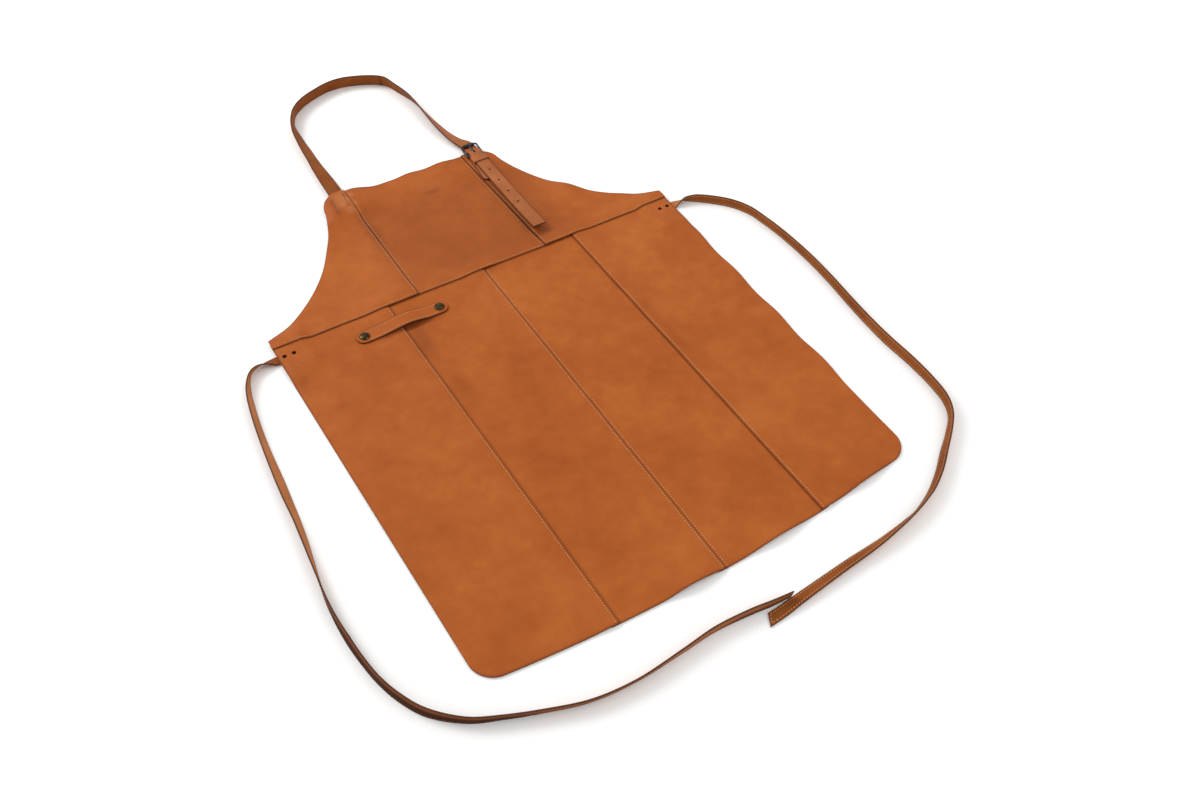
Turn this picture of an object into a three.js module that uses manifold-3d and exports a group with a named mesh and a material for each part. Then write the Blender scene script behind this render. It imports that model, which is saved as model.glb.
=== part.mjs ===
// Leather apron with bib, neck strap, waist ties and towel loop, lying flat and face up on a level surface.
// Millimetres. +X runs across the apron, +Y from the hem to the neck, +Z up from the surface.
// The origin lies on the surface, midway between the sides and midway between hem and neck loop.

import * as THREE from 'three';
import { mergeVertices } from 'three/addons/utils/BufferGeometryUtils.js';
import Module from 'manifold-3d';

const wasm = await Module();
wasm.setup();

// Leather
const LEATHER = 1.4;
const STRAP_LEATHER = 2;
const TIE_LEATHER = 1.6;
const PATCH_LEATHER = 1.2;
const GAP = 0.3;
const WAIST_GAP = 0.5;

// Lapped seams: the upper panel climbs over its neighbour's margin, then comes back down
const LAP = 9;
const RAMP = 9;
const LAP_GAP = 0.4;
const CLIMB = LEATHER + LAP_GAP;
const COVER_MARGIN = 1;

// Outline of the apron
const WAIST_HALF = 300;
const WAIST_Y = 11;
const HEM_HALF = 281.5;
const HEM_Y = -548;
const HEM_BOW = 19;
const HEM_CORNER = 26;
const BIB_TOP_Y = 265;
const BIB_CORNER = 30;
const BIB_SEAM = 97;
const BIB_LEAN = 7;
const BIB_LEAN_FADE = 26;
const WAIST_CORNER_Y = 27;
const ARMHOLE_PULL_WAIST = new THREE.Vector2(205, 68);
const BIB_OUTLINES = {
  left: { half: 142, armholePull: new THREE.Vector2(156, 172) },
  right: { half: 138, armholePull: new THREE.Vector2(148, 170) },
};

// Long seams and sides of the skirt, from left to right, and the panel that lies on top at each seam
const SKIRT_LINES = [
  { waistX: -WAIST_HALF, hemX: -HEM_HALF, upper: 'none' },
  { waistX: -141, hemX: -129, upper: 'left' },
  { waistX: 0, hemX: 2, upper: 'left' },
  { waistX: 140, hemX: 138, upper: 'right' },
  { waistX: WAIST_HALF, hemX: HEM_HALF, upper: 'none' },
];
const SKIRT_ROWS = 23;
const SKIRT_COLUMN = 26;
const BIB_ROWS = 10;
const BIB_COLUMN = 13;

// Distances from a panel's edge at which it bends, for a free side, a margin below and an edge on top
const WAIST_FADE = 18;
const WAIST_FLAT = 36;
const EDGE_STOPS = {
  free: [0, 2, 7, 15, HEM_CORNER, WAIST_FLAT, WAIST_FLAT + WAIST_FADE / 2, WAIST_FLAT + WAIST_FADE],
  under: [0, LAP],
  over: [0, LAP, LAP + RAMP],
};

// Places where the leather stands off the surface: over the parts sewn behind it, and in waves at its edges.
// Each is level within flatX and flatY of its middle and falls to nothing over fadeX and fadeY.
const WAIST_RISE = PATCH_LEATHER + TIE_LEATHER + 2.4 * GAP;
const STRAP_RISE = 10;
const RISES = [
  { at: 'strap corner', x: -112, y: 262, flatX: 20, flatY: 30, fadeX: 44, fadeY: 48, rise: STRAP_RISE },
  { at: 'bib corner', x: -154, y: 240, flatX: 4, flatY: 8, fadeX: 18, fadeY: 26, rise: -7 },
  { at: 'left waist', x: -284, y: -8, flatX: 20, flatY: 32, fadeX: WAIST_FADE, fadeY: 26, rise: WAIST_RISE },
  { at: 'right waist', x: 284, y: -8, flatX: 20, flatY: 32, fadeX: WAIST_FADE, fadeY: 26, rise: WAIST_RISE },
  { at: 'bib top', x: 2, y: 266, flatX: 0, flatY: 0, fadeX: 27, fadeY: 44, rise: 2.5 },
  { at: 'bib top', x: 54, y: 266, flatX: 0, flatY: 0, fadeX: 27, fadeY: 44, rise: 2 },
  { at: 'right armhole', x: 194, y: 112, flatX: 0, flatY: 0, fadeX: 32, fadeY: 44, rise: 4 },
  { at: 'right armhole', x: 256, y: 52, flatX: 0, flatY: 0, fadeX: 30, fadeY: 26, rise: 1.5 },
  { at: 'left armhole', x: -168, y: 160, flatX: 0, flatY: 0, fadeX: 30, fadeY: 50, rise: 3 },
  { at: 'right side', x: 296, y: -78, flatX: 0, flatY: 0, fadeX: 48, fadeY: 44, rise: 4 },
  { at: 'right side', x: 292, y: -172, flatX: 0, flatY: 0, fadeX: 52, fadeY: 46, rise: 3.5 },
  { at: 'right side', x: 289, y: -268, flatX: 0, flatY: 0, fadeX: 52, fadeY: 48, rise: 3.5 },
  { at: 'right side', x: 286, y: -366, flatX: 0, flatY: 0, fadeX: 56, fadeY: 50, rise: 4 },
  { at: 'hem', x: -38, y: -548, flatX: 0, flatY: 0, fadeX: 44, fadeY: 72, rise: 7 },
  { at: 'hem', x: 78, y: -546, flatX: 0, flatY: 0, fadeX: 56, fadeY: 60, rise: 5 },
  { at: 'hem', x: 206, y: -536, flatX: 0, flatY: 0, fadeX: 50, fadeY: 56, rise: 4 },
];

// Waist ties: the right tie's patch and holes mirror the left one's
const TIE_WIDTH = 14;
const TIE_STEP = 20;
const TIE_Y = -7.5;
const TIE_END_X = 268;
const TIE_SEWN_Z = PATCH_LEATHER + GAP + TIE_LEATHER / 2;
const TIE_HOLES = [278.5, 291];
const HOLE_RADIUS = 3;
const PATCH_CORNERS = [[264, 14], [264, -23], [293, -38], [297, 14]];

// Routes of the ties over the surface. tilt turns the strap about its length, from lying flat at 0
// to standing on its right-hand edge at -90 or on its left-hand edge at 90.
// z is given only where the strap doesn't rest on the surface.
const LEFT_TIE = [
  { x: -TIE_END_X, y: TIE_Y, tilt: 0, z: TIE_SEWN_Z },
  { x: -284, y: TIE_Y, tilt: 0, z: TIE_SEWN_Z },
  { x: -303, y: TIE_Y, tilt: 0, z: TIE_SEWN_Z },
  { x: -316, y: -7, tilt: -40 },
  { x: -326, y: -8, tilt: -55 },
  { x: -335, y: -13, tilt: -66 },
  { x: -342, y: -24, tilt: -85 },
  { x: -348.5, y: -42, tilt: -103 },
  { x: -352.5, y: -62, tilt: -112 },
  { x: -356.5, y: -92, tilt: -115 },
  { x: -359.5, y: -125, tilt: -118 },
  { x: -361.5, y: -158, tilt: -123 },
  { x: -363, y: -191, tilt: -130 },
  { x: -364.5, y: -222, tilt: -126 },
  { x: -365.5, y: -253, tilt: -118 },
  { x: -367.5, y: -283, tilt: -112 },
  { x: -370, y: -311, tilt: -103 },
  { x: -372.5, y: -338, tilt: -91 },
  { x: -374.5, y: -365, tilt: -83 },
  { x: -374.5, y: -392, tilt: -78 },
  { x: -372.5, y: -420, tilt: -72 },
  { x: -369, y: -448, tilt: -75 },
  { x: -363, y: -477, tilt: -77 },
  { x: -353, y: -504, tilt: -76 },
  { x: -338, y: -529.5, tilt: -78 },
  { x: -308, y: -557, tilt: -90 },
  { x: -278, y: -572, tilt: -98 },
  { x: -244, y: -586, tilt: -102 },
  { x: -198, y: -601.5, tilt: -105 },
  { x: -150, y: -607, tilt: -107 },
  { x: -92, y: -604.5, tilt: -99 },
  { x: -52, y: -602, tilt: -94 },
  { x: -8, y: -605.3, tilt: -91 },
  { x: 16, y: -608.8, tilt: -93 },
  { x: 40, y: -610.9, tilt: -100 },
];
const RIGHT_TIE = [
  { x: TIE_END_X, y: TIE_Y, tilt: 0, z: TIE_SEWN_Z },
  { x: 284, y: TIE_Y, tilt: 0, z: TIE_SEWN_Z },
  { x: 303, y: TIE_Y, tilt: 0, z: TIE_SEWN_Z },
  { x: 312, y: -7.5, tilt: 32 },
  { x: 321, y: -9.5, tilt: 60 },
  { x: 336, y: -17, tilt: 86 },
  { x: 354, y: -32, tilt: 92 },
  { x: 373, y: -53.5, tilt: 93 },
  { x: 386, y: -81, tilt: 92 },
  { x: 390.3, y: -109, tilt: 92 },
  { x: 392.8, y: -136, tilt: 92 },
  { x: 393.8, y: -166, tilt: 93 },
  { x: 392.8, y: -213, tilt: 95 },
  { x: 388.8, y: -259, tilt: 97 },
  { x: 383.3, y: -302, tilt: 100 },
  { x: 378.8, y: -344, tilt: 103 },
  { x: 376.3, y: -384, tilt: 106 },
  { x: 376.3, y: -426, tilt: 102 },
  { x: 373.8, y: -464, tilt: 100 },
  { x: 367.8, y: -496, tilt: 98 },
  { x: 356.3, y: -517, tilt: 99 },
  { x: 337.5, y: -534, tilt: 109 },
  { x: 310, y: -554, tilt: 118 },
  { x: 284, y: -573, tilt: 118 },
  { x: 258, y: -588, tilt: 115 },
  { x: 241, y: -595, tilt: 110 },
  { x: 224, y: -600.5, tilt: 107 },
  { x: 206, y: -604, tilt: 116 },
  { x: 186, y: -607, tilt: 123 },
  { x: 165, y: -609.5, tilt: 132 },
  { x: 143, y: -611, tilt: 141 },
  { x: 122, y: -612, tilt: 147 },
  { x: 100, y: -613.5, tilt: 150 },
  { x: 80, y: -615, tilt: 154 },
  { x: 60, y: -616.5, tilt: 158 },
  { x: 40, y: -618, tilt: 165 },
  { x: 22, y: -619.5, tilt: 175 },
  { x: 2, y: -621.5, tilt: 180 },
];

// Buckle on its leather tab, the chape
const BUCKLE_X = 108;
const CHAPE_X = 107;
const CHAPE_WIDTH = 18;
const CHAPE_SLANT = 0.08;
const CHAPE_TAIL_Y = 186;
const HEEL_Y = 249;
const FRAME_INNER_WIDTH = 23;
const FRAME_LENGTH = 24;
const FRAME_CORNER = 3;
const FRAME_WIRE = 2.8;
const FRAME_TILT = 9;
const ROLLER_RADIUS = 2.7;
const ROLLER_LENGTH = 17;
const PRONG_WIDTH = 2.4;
const PRONG_RING = 3;
const PRONG_REACH = 27;
const PRONG_THICKNESS = 1.9;
const WIRE_RADIUS = FRAME_WIRE / 2;
const FOLD_RADIUS = WIRE_RADIUS + GAP + LEATHER / 2;
const CHAPE_LOWER_Z = CLIMB + LEATHER + GAP + LEATHER / 2;
const CHAPE_UPPER_Z = CHAPE_LOWER_Z + LEATHER + GAP;
const HEEL_Z = CHAPE_LOWER_Z + FOLD_RADIUS;
const CHAPE_TOP = CHAPE_UPPER_Z + LEATHER / 2;
const FOLD_TOP = HEEL_Z + FOLD_RADIUS + LEATHER / 2;

// Keeper loop round the strap
const KEEPER_LEATHER = 1;
const KEEPER_Y = 227.5;
const KEEPER_LENGTH = 14;

// Neck strap
const STRAP_WIDTH = 21;
const STRAP_X = 108.5;
const STRAP_STEP = 14;
const STRAP_SEWN_Z = STRAP_RISE - 1.4 * GAP - STRAP_LEATHER / 2;
const STRAP_END_DROP = 2.6;
const STRAP_OVER_FOLD_Z = FOLD_TOP + GAP + STRAP_LEATHER / 2;
const STRAP_IN_KEEPER_Z = CHAPE_TOP + GAP + KEEPER_LEATHER + GAP + STRAP_LEATHER / 2;
const STRAP_HOLES = [201.5, 172, 141.5, 111.5];
const STRAP_HOLE_RADIUS = 1.7;
const PRONG_SLOT = { y: 255.5, width: 3.6, length: 12, depth: 16 };
const NECK_STRAP = [
  { x: -117, y: 222, tilt: 0, z: STRAP_SEWN_Z - STRAP_END_DROP },
  { x: -114.5, y: 242, tilt: 0, z: STRAP_SEWN_Z },
  { x: -112.5, y: 268, tilt: 0, z: STRAP_SEWN_Z },
  { x: -112, y: 300, tilt: -8, z: 8 },
  { x: -111.5, y: 335, tilt: -22, z: 6.8 },
  { x: -111, y: 362, tilt: -35 },
  { x: -110, y: 400, tilt: -42 },
  { x: -107.5, y: 444, tilt: -58 },
  { x: -100, y: 481, tilt: -90 },
  { x: -87, y: 505, tilt: -101 },
  { x: -68, y: 522, tilt: -104 },
  { x: -45, y: 534, tilt: -106 },
  { x: -20, y: 543, tilt: -106 },
  { x: 6, y: 544.1, tilt: -104 },
  { x: 36, y: 535, tilt: -105 },
  { x: 62, y: 520, tilt: -105 },
  { x: 72, y: 508, tilt: -104 },
  { x: 79, y: 482, tilt: -107 },
  { x: 87, y: 447, tilt: -113 },
  { x: 89.5, y: 415, tilt: -118 },
  { x: 90.5, y: 373, tilt: -130 },
  { x: 94, y: 332, tilt: -145 },
  { x: 100.5, y: 302, tilt: -161, z: 5.6 },
  { x: 107, y: 284, tilt: -177, z: 6 },
  { x: STRAP_X, y: 272, tilt: -180, z: 6.2 },
  { x: STRAP_X, y: 261, tilt: -180, z: 8.6 },
  { x: STRAP_X, y: HEEL_Y, tilt: -180, z: STRAP_OVER_FOLD_Z },
  { x: STRAP_X, y: 241, tilt: -180, z: STRAP_IN_KEEPER_Z + 0.1 },
  { x: STRAP_X, y: 232, tilt: -180, z: STRAP_IN_KEEPER_Z },
  { x: STRAP_X, y: 222, tilt: -180, z: STRAP_IN_KEEPER_Z },
  { x: STRAP_X, y: CHAPE_TAIL_Y, tilt: -180, z: 8.6 },
  { x: STRAP_X, y: 140, tilt: -180, z: 8 },
  { x: 108, y: 90, tilt: -180, z: 9 },
  { x: 107.5, y: 45, tilt: -180, z: 12 },
];

// Towel loop
const TOWEL_Y = -26;
const TOWEL_WIDTH = 22;
const TOWEL_LEATHER = 2;
const TOWEL_CAPS = [-190.5, -84.5];
const TOWEL_BOW = 6.8;
const TOWEL_BOW_RAMP = 0.34;
const TOWEL_TIP = 2;
const TOWEL_END_STOPS = [0, 1, 3, 6, 11];
const TOWEL_COLUMNS = 18;
const CAP_RADIUS = 6.9;
const CAP_HEIGHT = 2.6;
const CAP_SIDES = 20;

// Materials
const leather = new THREE.MeshStandardMaterial({ color: 0xac5a28, roughness: 0.55, metalness: 0 });
const strapLeather = new THREE.MeshStandardMaterial({ color: 0x9a5530, roughness: 0.6, metalness: 0 });
const gunmetal = new THREE.MeshStandardMaterial({ color: 0x3a3c3e, roughness: 0.3, metalness: 1 });
const antiqueBrass = new THREE.MeshStandardMaterial({ color: 0x6b5a36, roughness: 0.35, metalness: 1 });

// Small helpers
const { lerp, degToRad, clamp, smoothstep } = THREE.MathUtils;

function fade(distance, length) {
  return 0.5 + 0.5 * Math.cos(Math.PI * clamp(distance / length, 0, 1));
}

// How far the leather stands off the surface at a point
function riseAt(x, y) {
  let total = 0;
  for (const spot of RISES) {
    const acrossX = fade(Math.abs(x - spot.x) - spot.flatX, spot.fadeX);
    const acrossY = fade(Math.abs(y - spot.y) - spot.flatY, spot.fadeY);
    total += spot.rise * acrossX * acrossY;
  }
  return total;
}

// Closed sheet of leather: a grid of columns and rows with a lower and an upper face
function sheet(columns, rows, place) {
  const geometry = new THREE.BoxGeometry(1, 1, 1, columns, rows, 1);
  const position = geometry.attributes.position;
  for (let i = 0; i < position.count; i += 1) {
    const column = Math.round((position.getX(i) + 0.5) * columns);
    const row = Math.round((position.getY(i) + 0.5) * rows);
    const point = place(column, row, position.getZ(i) > 0);
    position.setXYZ(i, point.x, point.y, point.z);
  }
  geometry.computeVertexNormals();
  return geometry;
}

// Numbers from one to another in even steps, with the given breaks put in
function stopsBetween(from, to, step, breaks) {
  const count = Math.max(1, Math.round((to - from) / step));
  const even = Array.from({ length: count + 1 }, (_, i) => lerp(from, to, i / count));
  const inside = breaks.filter((stop) => stop > from && stop < to);
  const far = (stop) => inside.every((other) => Math.abs(other - stop) > step / 3);
  const kept = even.filter((stop, i) => i === 0 || i === count || far(stop));
  return [...kept, ...inside].sort((a, b) => a - b);
}

// Cuts and joins of closed meshes
function solidOf(geometry) {
  const bare = geometry.clone();
  bare.deleteAttribute('normal');
  bare.deleteAttribute('uv');
  const merged = mergeVertices(bare, 1e-4);
  const vertProperties = Float32Array.from(merged.attributes.position.array);
  const triVerts = Uint32Array.from(merged.index.array);
  return new wasm.Manifold(new wasm.Mesh({ numProp: 3, vertProperties, triVerts }));
}

function geometryOf(solid) {
  const mesh = solid.getMesh();
  const geometry = new THREE.BufferGeometry();
  geometry.setAttribute('position', new THREE.BufferAttribute(mesh.vertProperties, 3));
  geometry.setIndex(new THREE.BufferAttribute(mesh.triVerts, 1));
  geometry.computeVertexNormals();
  return geometry;
}

function cut(geometry, cutters) {
  return geometryOf(cutters.reduce((solid, cutter) => solid.subtract(solidOf(cutter)), solidOf(geometry)));
}

// Upright round punch, for a hole through everything at x, y
function punch(x, y, radius) {
  const sides = 12;
  const depth = 60;
  return new THREE.CylinderGeometry(radius, radius, depth, sides).rotateX(Math.PI / 2).translate(x, y, 0);
}

const tieHoles = (side) => TIE_HOLES.map((x) => punch(side * x, TIE_Y, HOLE_RADIUS));

// Skirt
function skirtLineX(line, y) {
  return lerp(line.hemX, line.waistX, (y - HEM_Y) / (WAIST_Y - HEM_Y));
}

function hemY(x) {
  const intoCorner = clamp(Math.abs(x) - (HEM_HALF - HEM_CORNER), 0, HEM_CORNER);
  const corner = HEM_CORNER - Math.sqrt(HEM_CORNER ** 2 - intoCorner ** 2);
  return HEM_Y + HEM_BOW * (x / HEM_HALF) ** 2 + corner;
}

// How a panel ends at a line: free, over its neighbour when it is the upper one there, or under it
function edgeKind(line, side) {
  if (line.upper === 'none') return 'free';
  return line.upper === side ? 'over' : 'under';
}

function skirtPanel(left, right) {
  const leftKind = edgeKind(left, 'right');
  const rightKind = edgeKind(right, 'left');
  const leftMargin = leftKind === 'under' ? LAP : 0;
  const rightMargin = rightKind === 'under' ? LAP : 0;
  const leftStops = EDGE_STOPS[leftKind];
  const rightStops = EDGE_STOPS[rightKind].toReversed();
  const bare = right.waistX - left.waistX - leftStops.at(-1) - rightStops[0];
  const between = Math.round(bare / SKIRT_COLUMN);
  const middle = Array.from({ length: between - 1 }, (_, i) => (i + 1) / between);
  const columns = leftStops.length + middle.length + rightStops.length;

  function columnX(column, y) {
    const leftX = skirtLineX(left, y) - leftMargin;
    const rightX = skirtLineX(right, y) + rightMargin;
    if (column < leftStops.length) return leftX + leftStops[column];
    const fromRight = column - leftStops.length - middle.length;
    if (fromRight >= 0) return rightX - rightStops[fromRight];
    return lerp(leftX + leftStops.at(-1), rightX - rightStops[0], middle[column - leftStops.length]);
  }

  function climb(column) {
    const overLeft = leftKind === 'over' && column < 2;
    const overRight = rightKind === 'over' && column >= columns - 2;
    return overLeft || overRight ? CLIMB : 0;
  }

  return sheet(columns - 1, SKIRT_ROWS + 1, (column, row, top) => {
    const share = row / SKIRT_ROWS;
    const underBib = row > SKIRT_ROWS;
    const lineY = underBib ? WAIST_Y + LAP : lerp(HEM_Y, WAIST_Y, share);
    const x = columnX(column, lineY);
    const y = underBib ? lineY : lerp(hemY(x), WAIST_Y, share);
    const z = riseAt(x, y) + climb(column) + (top ? LEATHER : 0);
    return { x, y, z };
  });
}

// Bib: its top edge, rounded corner and armhole as a height over a distance out from the middle
function armholeY({ half, armholePull }, out) {
  const curve = new THREE.CubicBezierCurve(
    new THREE.Vector2(half, BIB_TOP_Y - BIB_CORNER),
    armholePull,
    ARMHOLE_PULL_WAIST,
    new THREE.Vector2(WAIST_HALF, WAIST_CORNER_Y),
  );
  const halvings = 40;
  let low = 0;
  let high = 1;
  for (let i = 0; i < halvings; i += 1) {
    const middle = (low + high) / 2;
    if (curve.getPoint(middle).x < out) low = middle;
    else high = middle;
  }
  return curve.getPoint(low).y;
}

function bibTopY(x) {
  const outline = x < 0 ? BIB_OUTLINES.left : BIB_OUTLINES.right;
  const out = Math.abs(x);
  if (out >= outline.half) return armholeY(outline, out);
  const intoCorner = Math.max(0, out - (outline.half - BIB_CORNER));
  return BIB_TOP_Y - BIB_CORNER + Math.sqrt(BIB_CORNER ** 2 - intoCorner ** 2);
}

// The bib's lower edge climbs over the skirt, and higher where it crosses a seam of the skirt
const SEAM_COVERS = SKIRT_LINES.filter((line) => line.upper !== 'none').map((line) => {
  const toLeft = line.upper === 'left' ? LAP : 0;
  const low = line.waistX - toLeft - COVER_MARGIN;
  const high = line.waistX + LAP - toLeft + COVER_MARGIN;
  return [low - RAMP, low, high, high + RAMP];
});

function coverAt(x) {
  let height = 0;
  for (const [start, low, high, end] of SEAM_COVERS) {
    const up = clamp((x - start) / (low - start), 0, 1);
    const down = clamp((end - x) / (end - high), 0, 1);
    height = Math.max(height, CLIMB * Math.min(up, down));
  }
  return height;
}

function waistClimb(x, y) {
  const down = clamp((WAIST_Y + LAP + COVER_MARGIN + RAMP - y) / RAMP, 0, 1);
  return down * (LEATHER + WAIST_GAP + coverAt(x));
}

function bibRowY(row, topY) {
  const height = topY - WAIST_Y;
  const lapEnd = WAIST_Y + Math.min(LAP + COVER_MARGIN, 0.8 * height);
  const rampEnd = WAIST_Y + Math.min(LAP + COVER_MARGIN + RAMP, 0.9 * height);
  if (row < 3) return [WAIST_Y, lapEnd, rampEnd][row];
  return lerp(rampEnd, topY, (row - 2) / (BIB_ROWS - 2));
}

// The bib's seams and what lies between them lean to the left towards the top; its outline doesn't
function bibLean(x, y) {
  const up = (y - WAIST_Y) / (BIB_TOP_Y - WAIST_Y);
  const seamReach = BIB_SEAM + LAP;
  return -BIB_LEAN * up * (1 - smoothstep(Math.abs(x), seamReach, seamReach + BIB_LEAN_FADE));
}

function bibPanel(stops, climbs) {
  return sheet(stops.length - 1, BIB_ROWS, (column, row, top) => {
    const cutX = stops[column];
    const y = bibRowY(row, bibTopY(cutX));
    const x = cutX + bibLean(cutX, y);
    const z = riseAt(x, y) + waistClimb(cutX, y) + climbs(cutX) + (top ? LEATHER : 0);
    return { x, y, z };
  });
}

function bibSide(side) {
  const { half } = side < 0 ? BIB_OUTLINES.left : BIB_OUTLINES.right;
  const corner = [0, 0.35, 0.65, 0.88, 1].map((share) => half - BIB_CORNER * (1 - share));
  const waist = EDGE_STOPS.free.slice(-3).map((stop) => WAIST_HALF - stop);
  const covers = SEAM_COVERS.flat().map((x) => x * side);
  const breaks = [BIB_SEAM + LAP, BIB_SEAM + LAP + RAMP, ...corner, ...waist, ...covers];
  const out = stopsBetween(BIB_SEAM, WAIST_HALF, BIB_COLUMN, [...new Set(breaks)]);
  const stops = side > 0 ? out : out.map((x) => -x).reverse();
  return bibPanel(stops, (x) => CLIMB * clamp((BIB_SEAM + LAP + RAMP - Math.abs(x)) / RAMP, 0, 1));
}

function bibCentre() {
  const breaks = [-BIB_SEAM, BIB_SEAM, ...SEAM_COVERS.flat()];
  return bibPanel(stopsBetween(-BIB_SEAM - LAP, BIB_SEAM + LAP, BIB_COLUMN, breaks), () => 0);
}

// Straps: a flat strip along a route of rows with x, y, tilt and sometimes z
function restHeight(tilt, width, thickness) {
  const turn = degToRad(tilt);
  return (width / 2) * Math.abs(Math.sin(turn)) + (thickness / 2) * Math.abs(Math.cos(turn)) + GAP;
}

function strap(route, width, thickness, step) {
  const points = route.map(({ x, y, z, tilt }) => (
    new THREE.Vector3(x, y, z ?? restHeight(tilt, width, thickness))
  ));
  const middle = new THREE.CatmullRomCurve3(points, false, 'centripetal');
  const spans = points.length - 1;
  const up = new THREE.Vector3(0, 0, 1);
  const frameAt = (span, share) => {
    const t = (span + share) / spans;
    const along = middle.getTangent(t);
    const turn = degToRad(lerp(route[span].tilt, route[span + 1].tilt, share));
    const right = new THREE.Vector3().crossVectors(along, up).normalize();
    const lift = new THREE.Vector3().crossVectors(right, along);
    const across = right.multiplyScalar(Math.cos(turn)).addScaledVector(lift, Math.sin(turn));
    const out = new THREE.Vector3().crossVectors(across, along);
    return { point: middle.getPoint(t), across, out };
  };
  const frames = [frameAt(0, 0)];
  for (let span = 0; span < spans; span += 1) {
    const count = Math.ceil(points[span].distanceTo(points[span + 1]) / step);
    for (let i = 1; i <= count; i += 1) frames.push(frameAt(span, i / count));
  }
  return sheet(1, frames.length - 1, (column, row, top) => {
    const { point, across, out } = frames[row];
    const offset = column === 0 ? -width / 2 : width / 2;
    const depth = top ? thickness / 2 : -thickness / 2;
    return point.clone().addScaledVector(across, offset).addScaledVector(out, depth);
  });
}

function waistTie(route, side) {
  return cut(strap(route, TIE_WIDTH, TIE_LEATHER, TIE_STEP), tieHoles(side));
}

function waistPatch(side) {
  const corners = PATCH_CORNERS.map(([x, y]) => new THREE.Vector2(side * x, y));
  const outline = new THREE.Shape(side > 0 ? corners : corners.reverse());
  for (const x of TIE_HOLES) {
    outline.holes.push(new THREE.Path().absarc(side * x, TIE_Y, HOLE_RADIUS, 0, 2 * Math.PI));
  }
  return new THREE.ExtrudeGeometry(outline, { depth: PATCH_LEATHER, bevelEnabled: false, curveSegments: 6 });
}

function neckStrap() {
  const holes = STRAP_HOLES.map((y) => punch(STRAP_X, y, STRAP_HOLE_RADIUS));
  const slot = new THREE.BoxGeometry(PRONG_SLOT.width, PRONG_SLOT.length, PRONG_SLOT.depth)
    .translate(BUCKLE_X, PRONG_SLOT.y, STRAP_OVER_FOLD_Z);
  return cut(strap(NECK_STRAP, STRAP_WIDTH, STRAP_LEATHER, STRAP_STEP), [...holes, slot]);
}

// Chape: a strip that runs up the bib, round the heel bar and back over itself, with a slot for the prong
function chape() {
  const settle = 9;
  const lower = new THREE.LineCurve(
    new THREE.Vector2(CHAPE_TAIL_Y, CHAPE_LOWER_Z),
    new THREE.Vector2(HEEL_Y, CHAPE_LOWER_Z),
  );
  const fold = new THREE.EllipseCurve(HEEL_Y, HEEL_Z, FOLD_RADIUS, FOLD_RADIUS, -Math.PI / 2, Math.PI / 2);
  const back = new THREE.CubicBezierCurve(
    new THREE.Vector2(HEEL_Y, HEEL_Z + FOLD_RADIUS),
    new THREE.Vector2(HEEL_Y - settle / 2, HEEL_Z + FOLD_RADIUS),
    new THREE.Vector2(HEEL_Y - settle / 2, CHAPE_UPPER_Z),
    new THREE.Vector2(HEEL_Y - settle, CHAPE_UPPER_Z),
  );
  const upper = new THREE.LineCurve(
    new THREE.Vector2(HEEL_Y - settle, CHAPE_UPPER_Z),
    new THREE.Vector2(CHAPE_TAIL_Y, CHAPE_UPPER_Z),
  );
  const run = [
    ...[0, 1].map((t) => [lower, t]),
    ...Array.from({ length: 8 }, (_, i) => [fold, (i + 1) / 9]),
    ...Array.from({ length: 7 }, (_, i) => [back, i / 6]),
    [upper, 1],
  ].map(([curve, t]) => ({ at: curve.getPoint(t), along: curve.getTangent(t) }));
  const strip = sheet(1, run.length - 1, (column, row, top) => {
    const { at, along } = run[row];
    const depth = top ? LEATHER / 2 : -LEATHER / 2;
    const slant = CHAPE_SLANT * Math.max(0, HEEL_Y - at.x);
    const x = CHAPE_X - slant + (column === 0 ? -CHAPE_WIDTH / 2 : CHAPE_WIDTH / 2);
    return { x, y: at.x - along.y * depth, z: at.y + along.x * depth };
  });
  const slotWidth = PRONG_WIDTH + 4 * GAP;
  const slotLength = 2 * PRONG_RING + 6 * GAP;
  const slot = new THREE.BoxGeometry(slotWidth, slotLength, 4 * PRONG_RING)
    .translate(BUCKLE_X, HEEL_Y, HEEL_Z);
  return cut(strip, [slot]);
}

// Buckle: a bent wire ring with its heel bar on the group's X axis
function buckleFrame() {
  const halfWidth = FRAME_INNER_WIDTH / 2 + WIRE_RADIUS;
  const straightX = halfWidth - FRAME_CORNER;
  const outline = new THREE.Path()
    .moveTo(-straightX, 0)
    .lineTo(straightX, 0)
    .absarc(straightX, FRAME_CORNER, FRAME_CORNER, -Math.PI / 2, 0)
    .lineTo(halfWidth, FRAME_LENGTH - FRAME_CORNER)
    .absarc(straightX, FRAME_LENGTH - FRAME_CORNER, FRAME_CORNER, 0, Math.PI / 2)
    .lineTo(-straightX, FRAME_LENGTH)
    .absarc(-straightX, FRAME_LENGTH - FRAME_CORNER, FRAME_CORNER, Math.PI / 2, Math.PI)
    .lineTo(-halfWidth, FRAME_CORNER)
    .absarc(-straightX, FRAME_CORNER, FRAME_CORNER, Math.PI, 1.5 * Math.PI);
  const corners = outline.getPoints(4);
  corners.pop();
  const count = corners.length;
  const normals = corners.map((point, i) => {
    const before = corners[(i + count - 1) % count];
    const after = corners[(i + 1) % count];
    const along = after.clone().sub(before).normalize();
    return new THREE.Vector2(along.y, -along.x);
  });
  const wireSides = 8;
  const ring = new THREE.TorusGeometry(2, 1, wireSides, count);
  const position = ring.attributes.position;
  for (let i = 0; i < position.count; i += 1) {
    const turn = Math.atan2(position.getY(i), position.getX(i));
    const stop = Math.round((turn / (2 * Math.PI)) * count + count) % count;
    const outward = Math.hypot(position.getX(i), position.getY(i)) - 2;
    const point = corners[stop].clone().addScaledVector(normals[stop], WIRE_RADIUS * outward);
    position.setXYZ(i, point.x, point.y, WIRE_RADIUS * position.getZ(i));
  }
  ring.computeVertexNormals();
  return ring;
}

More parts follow.
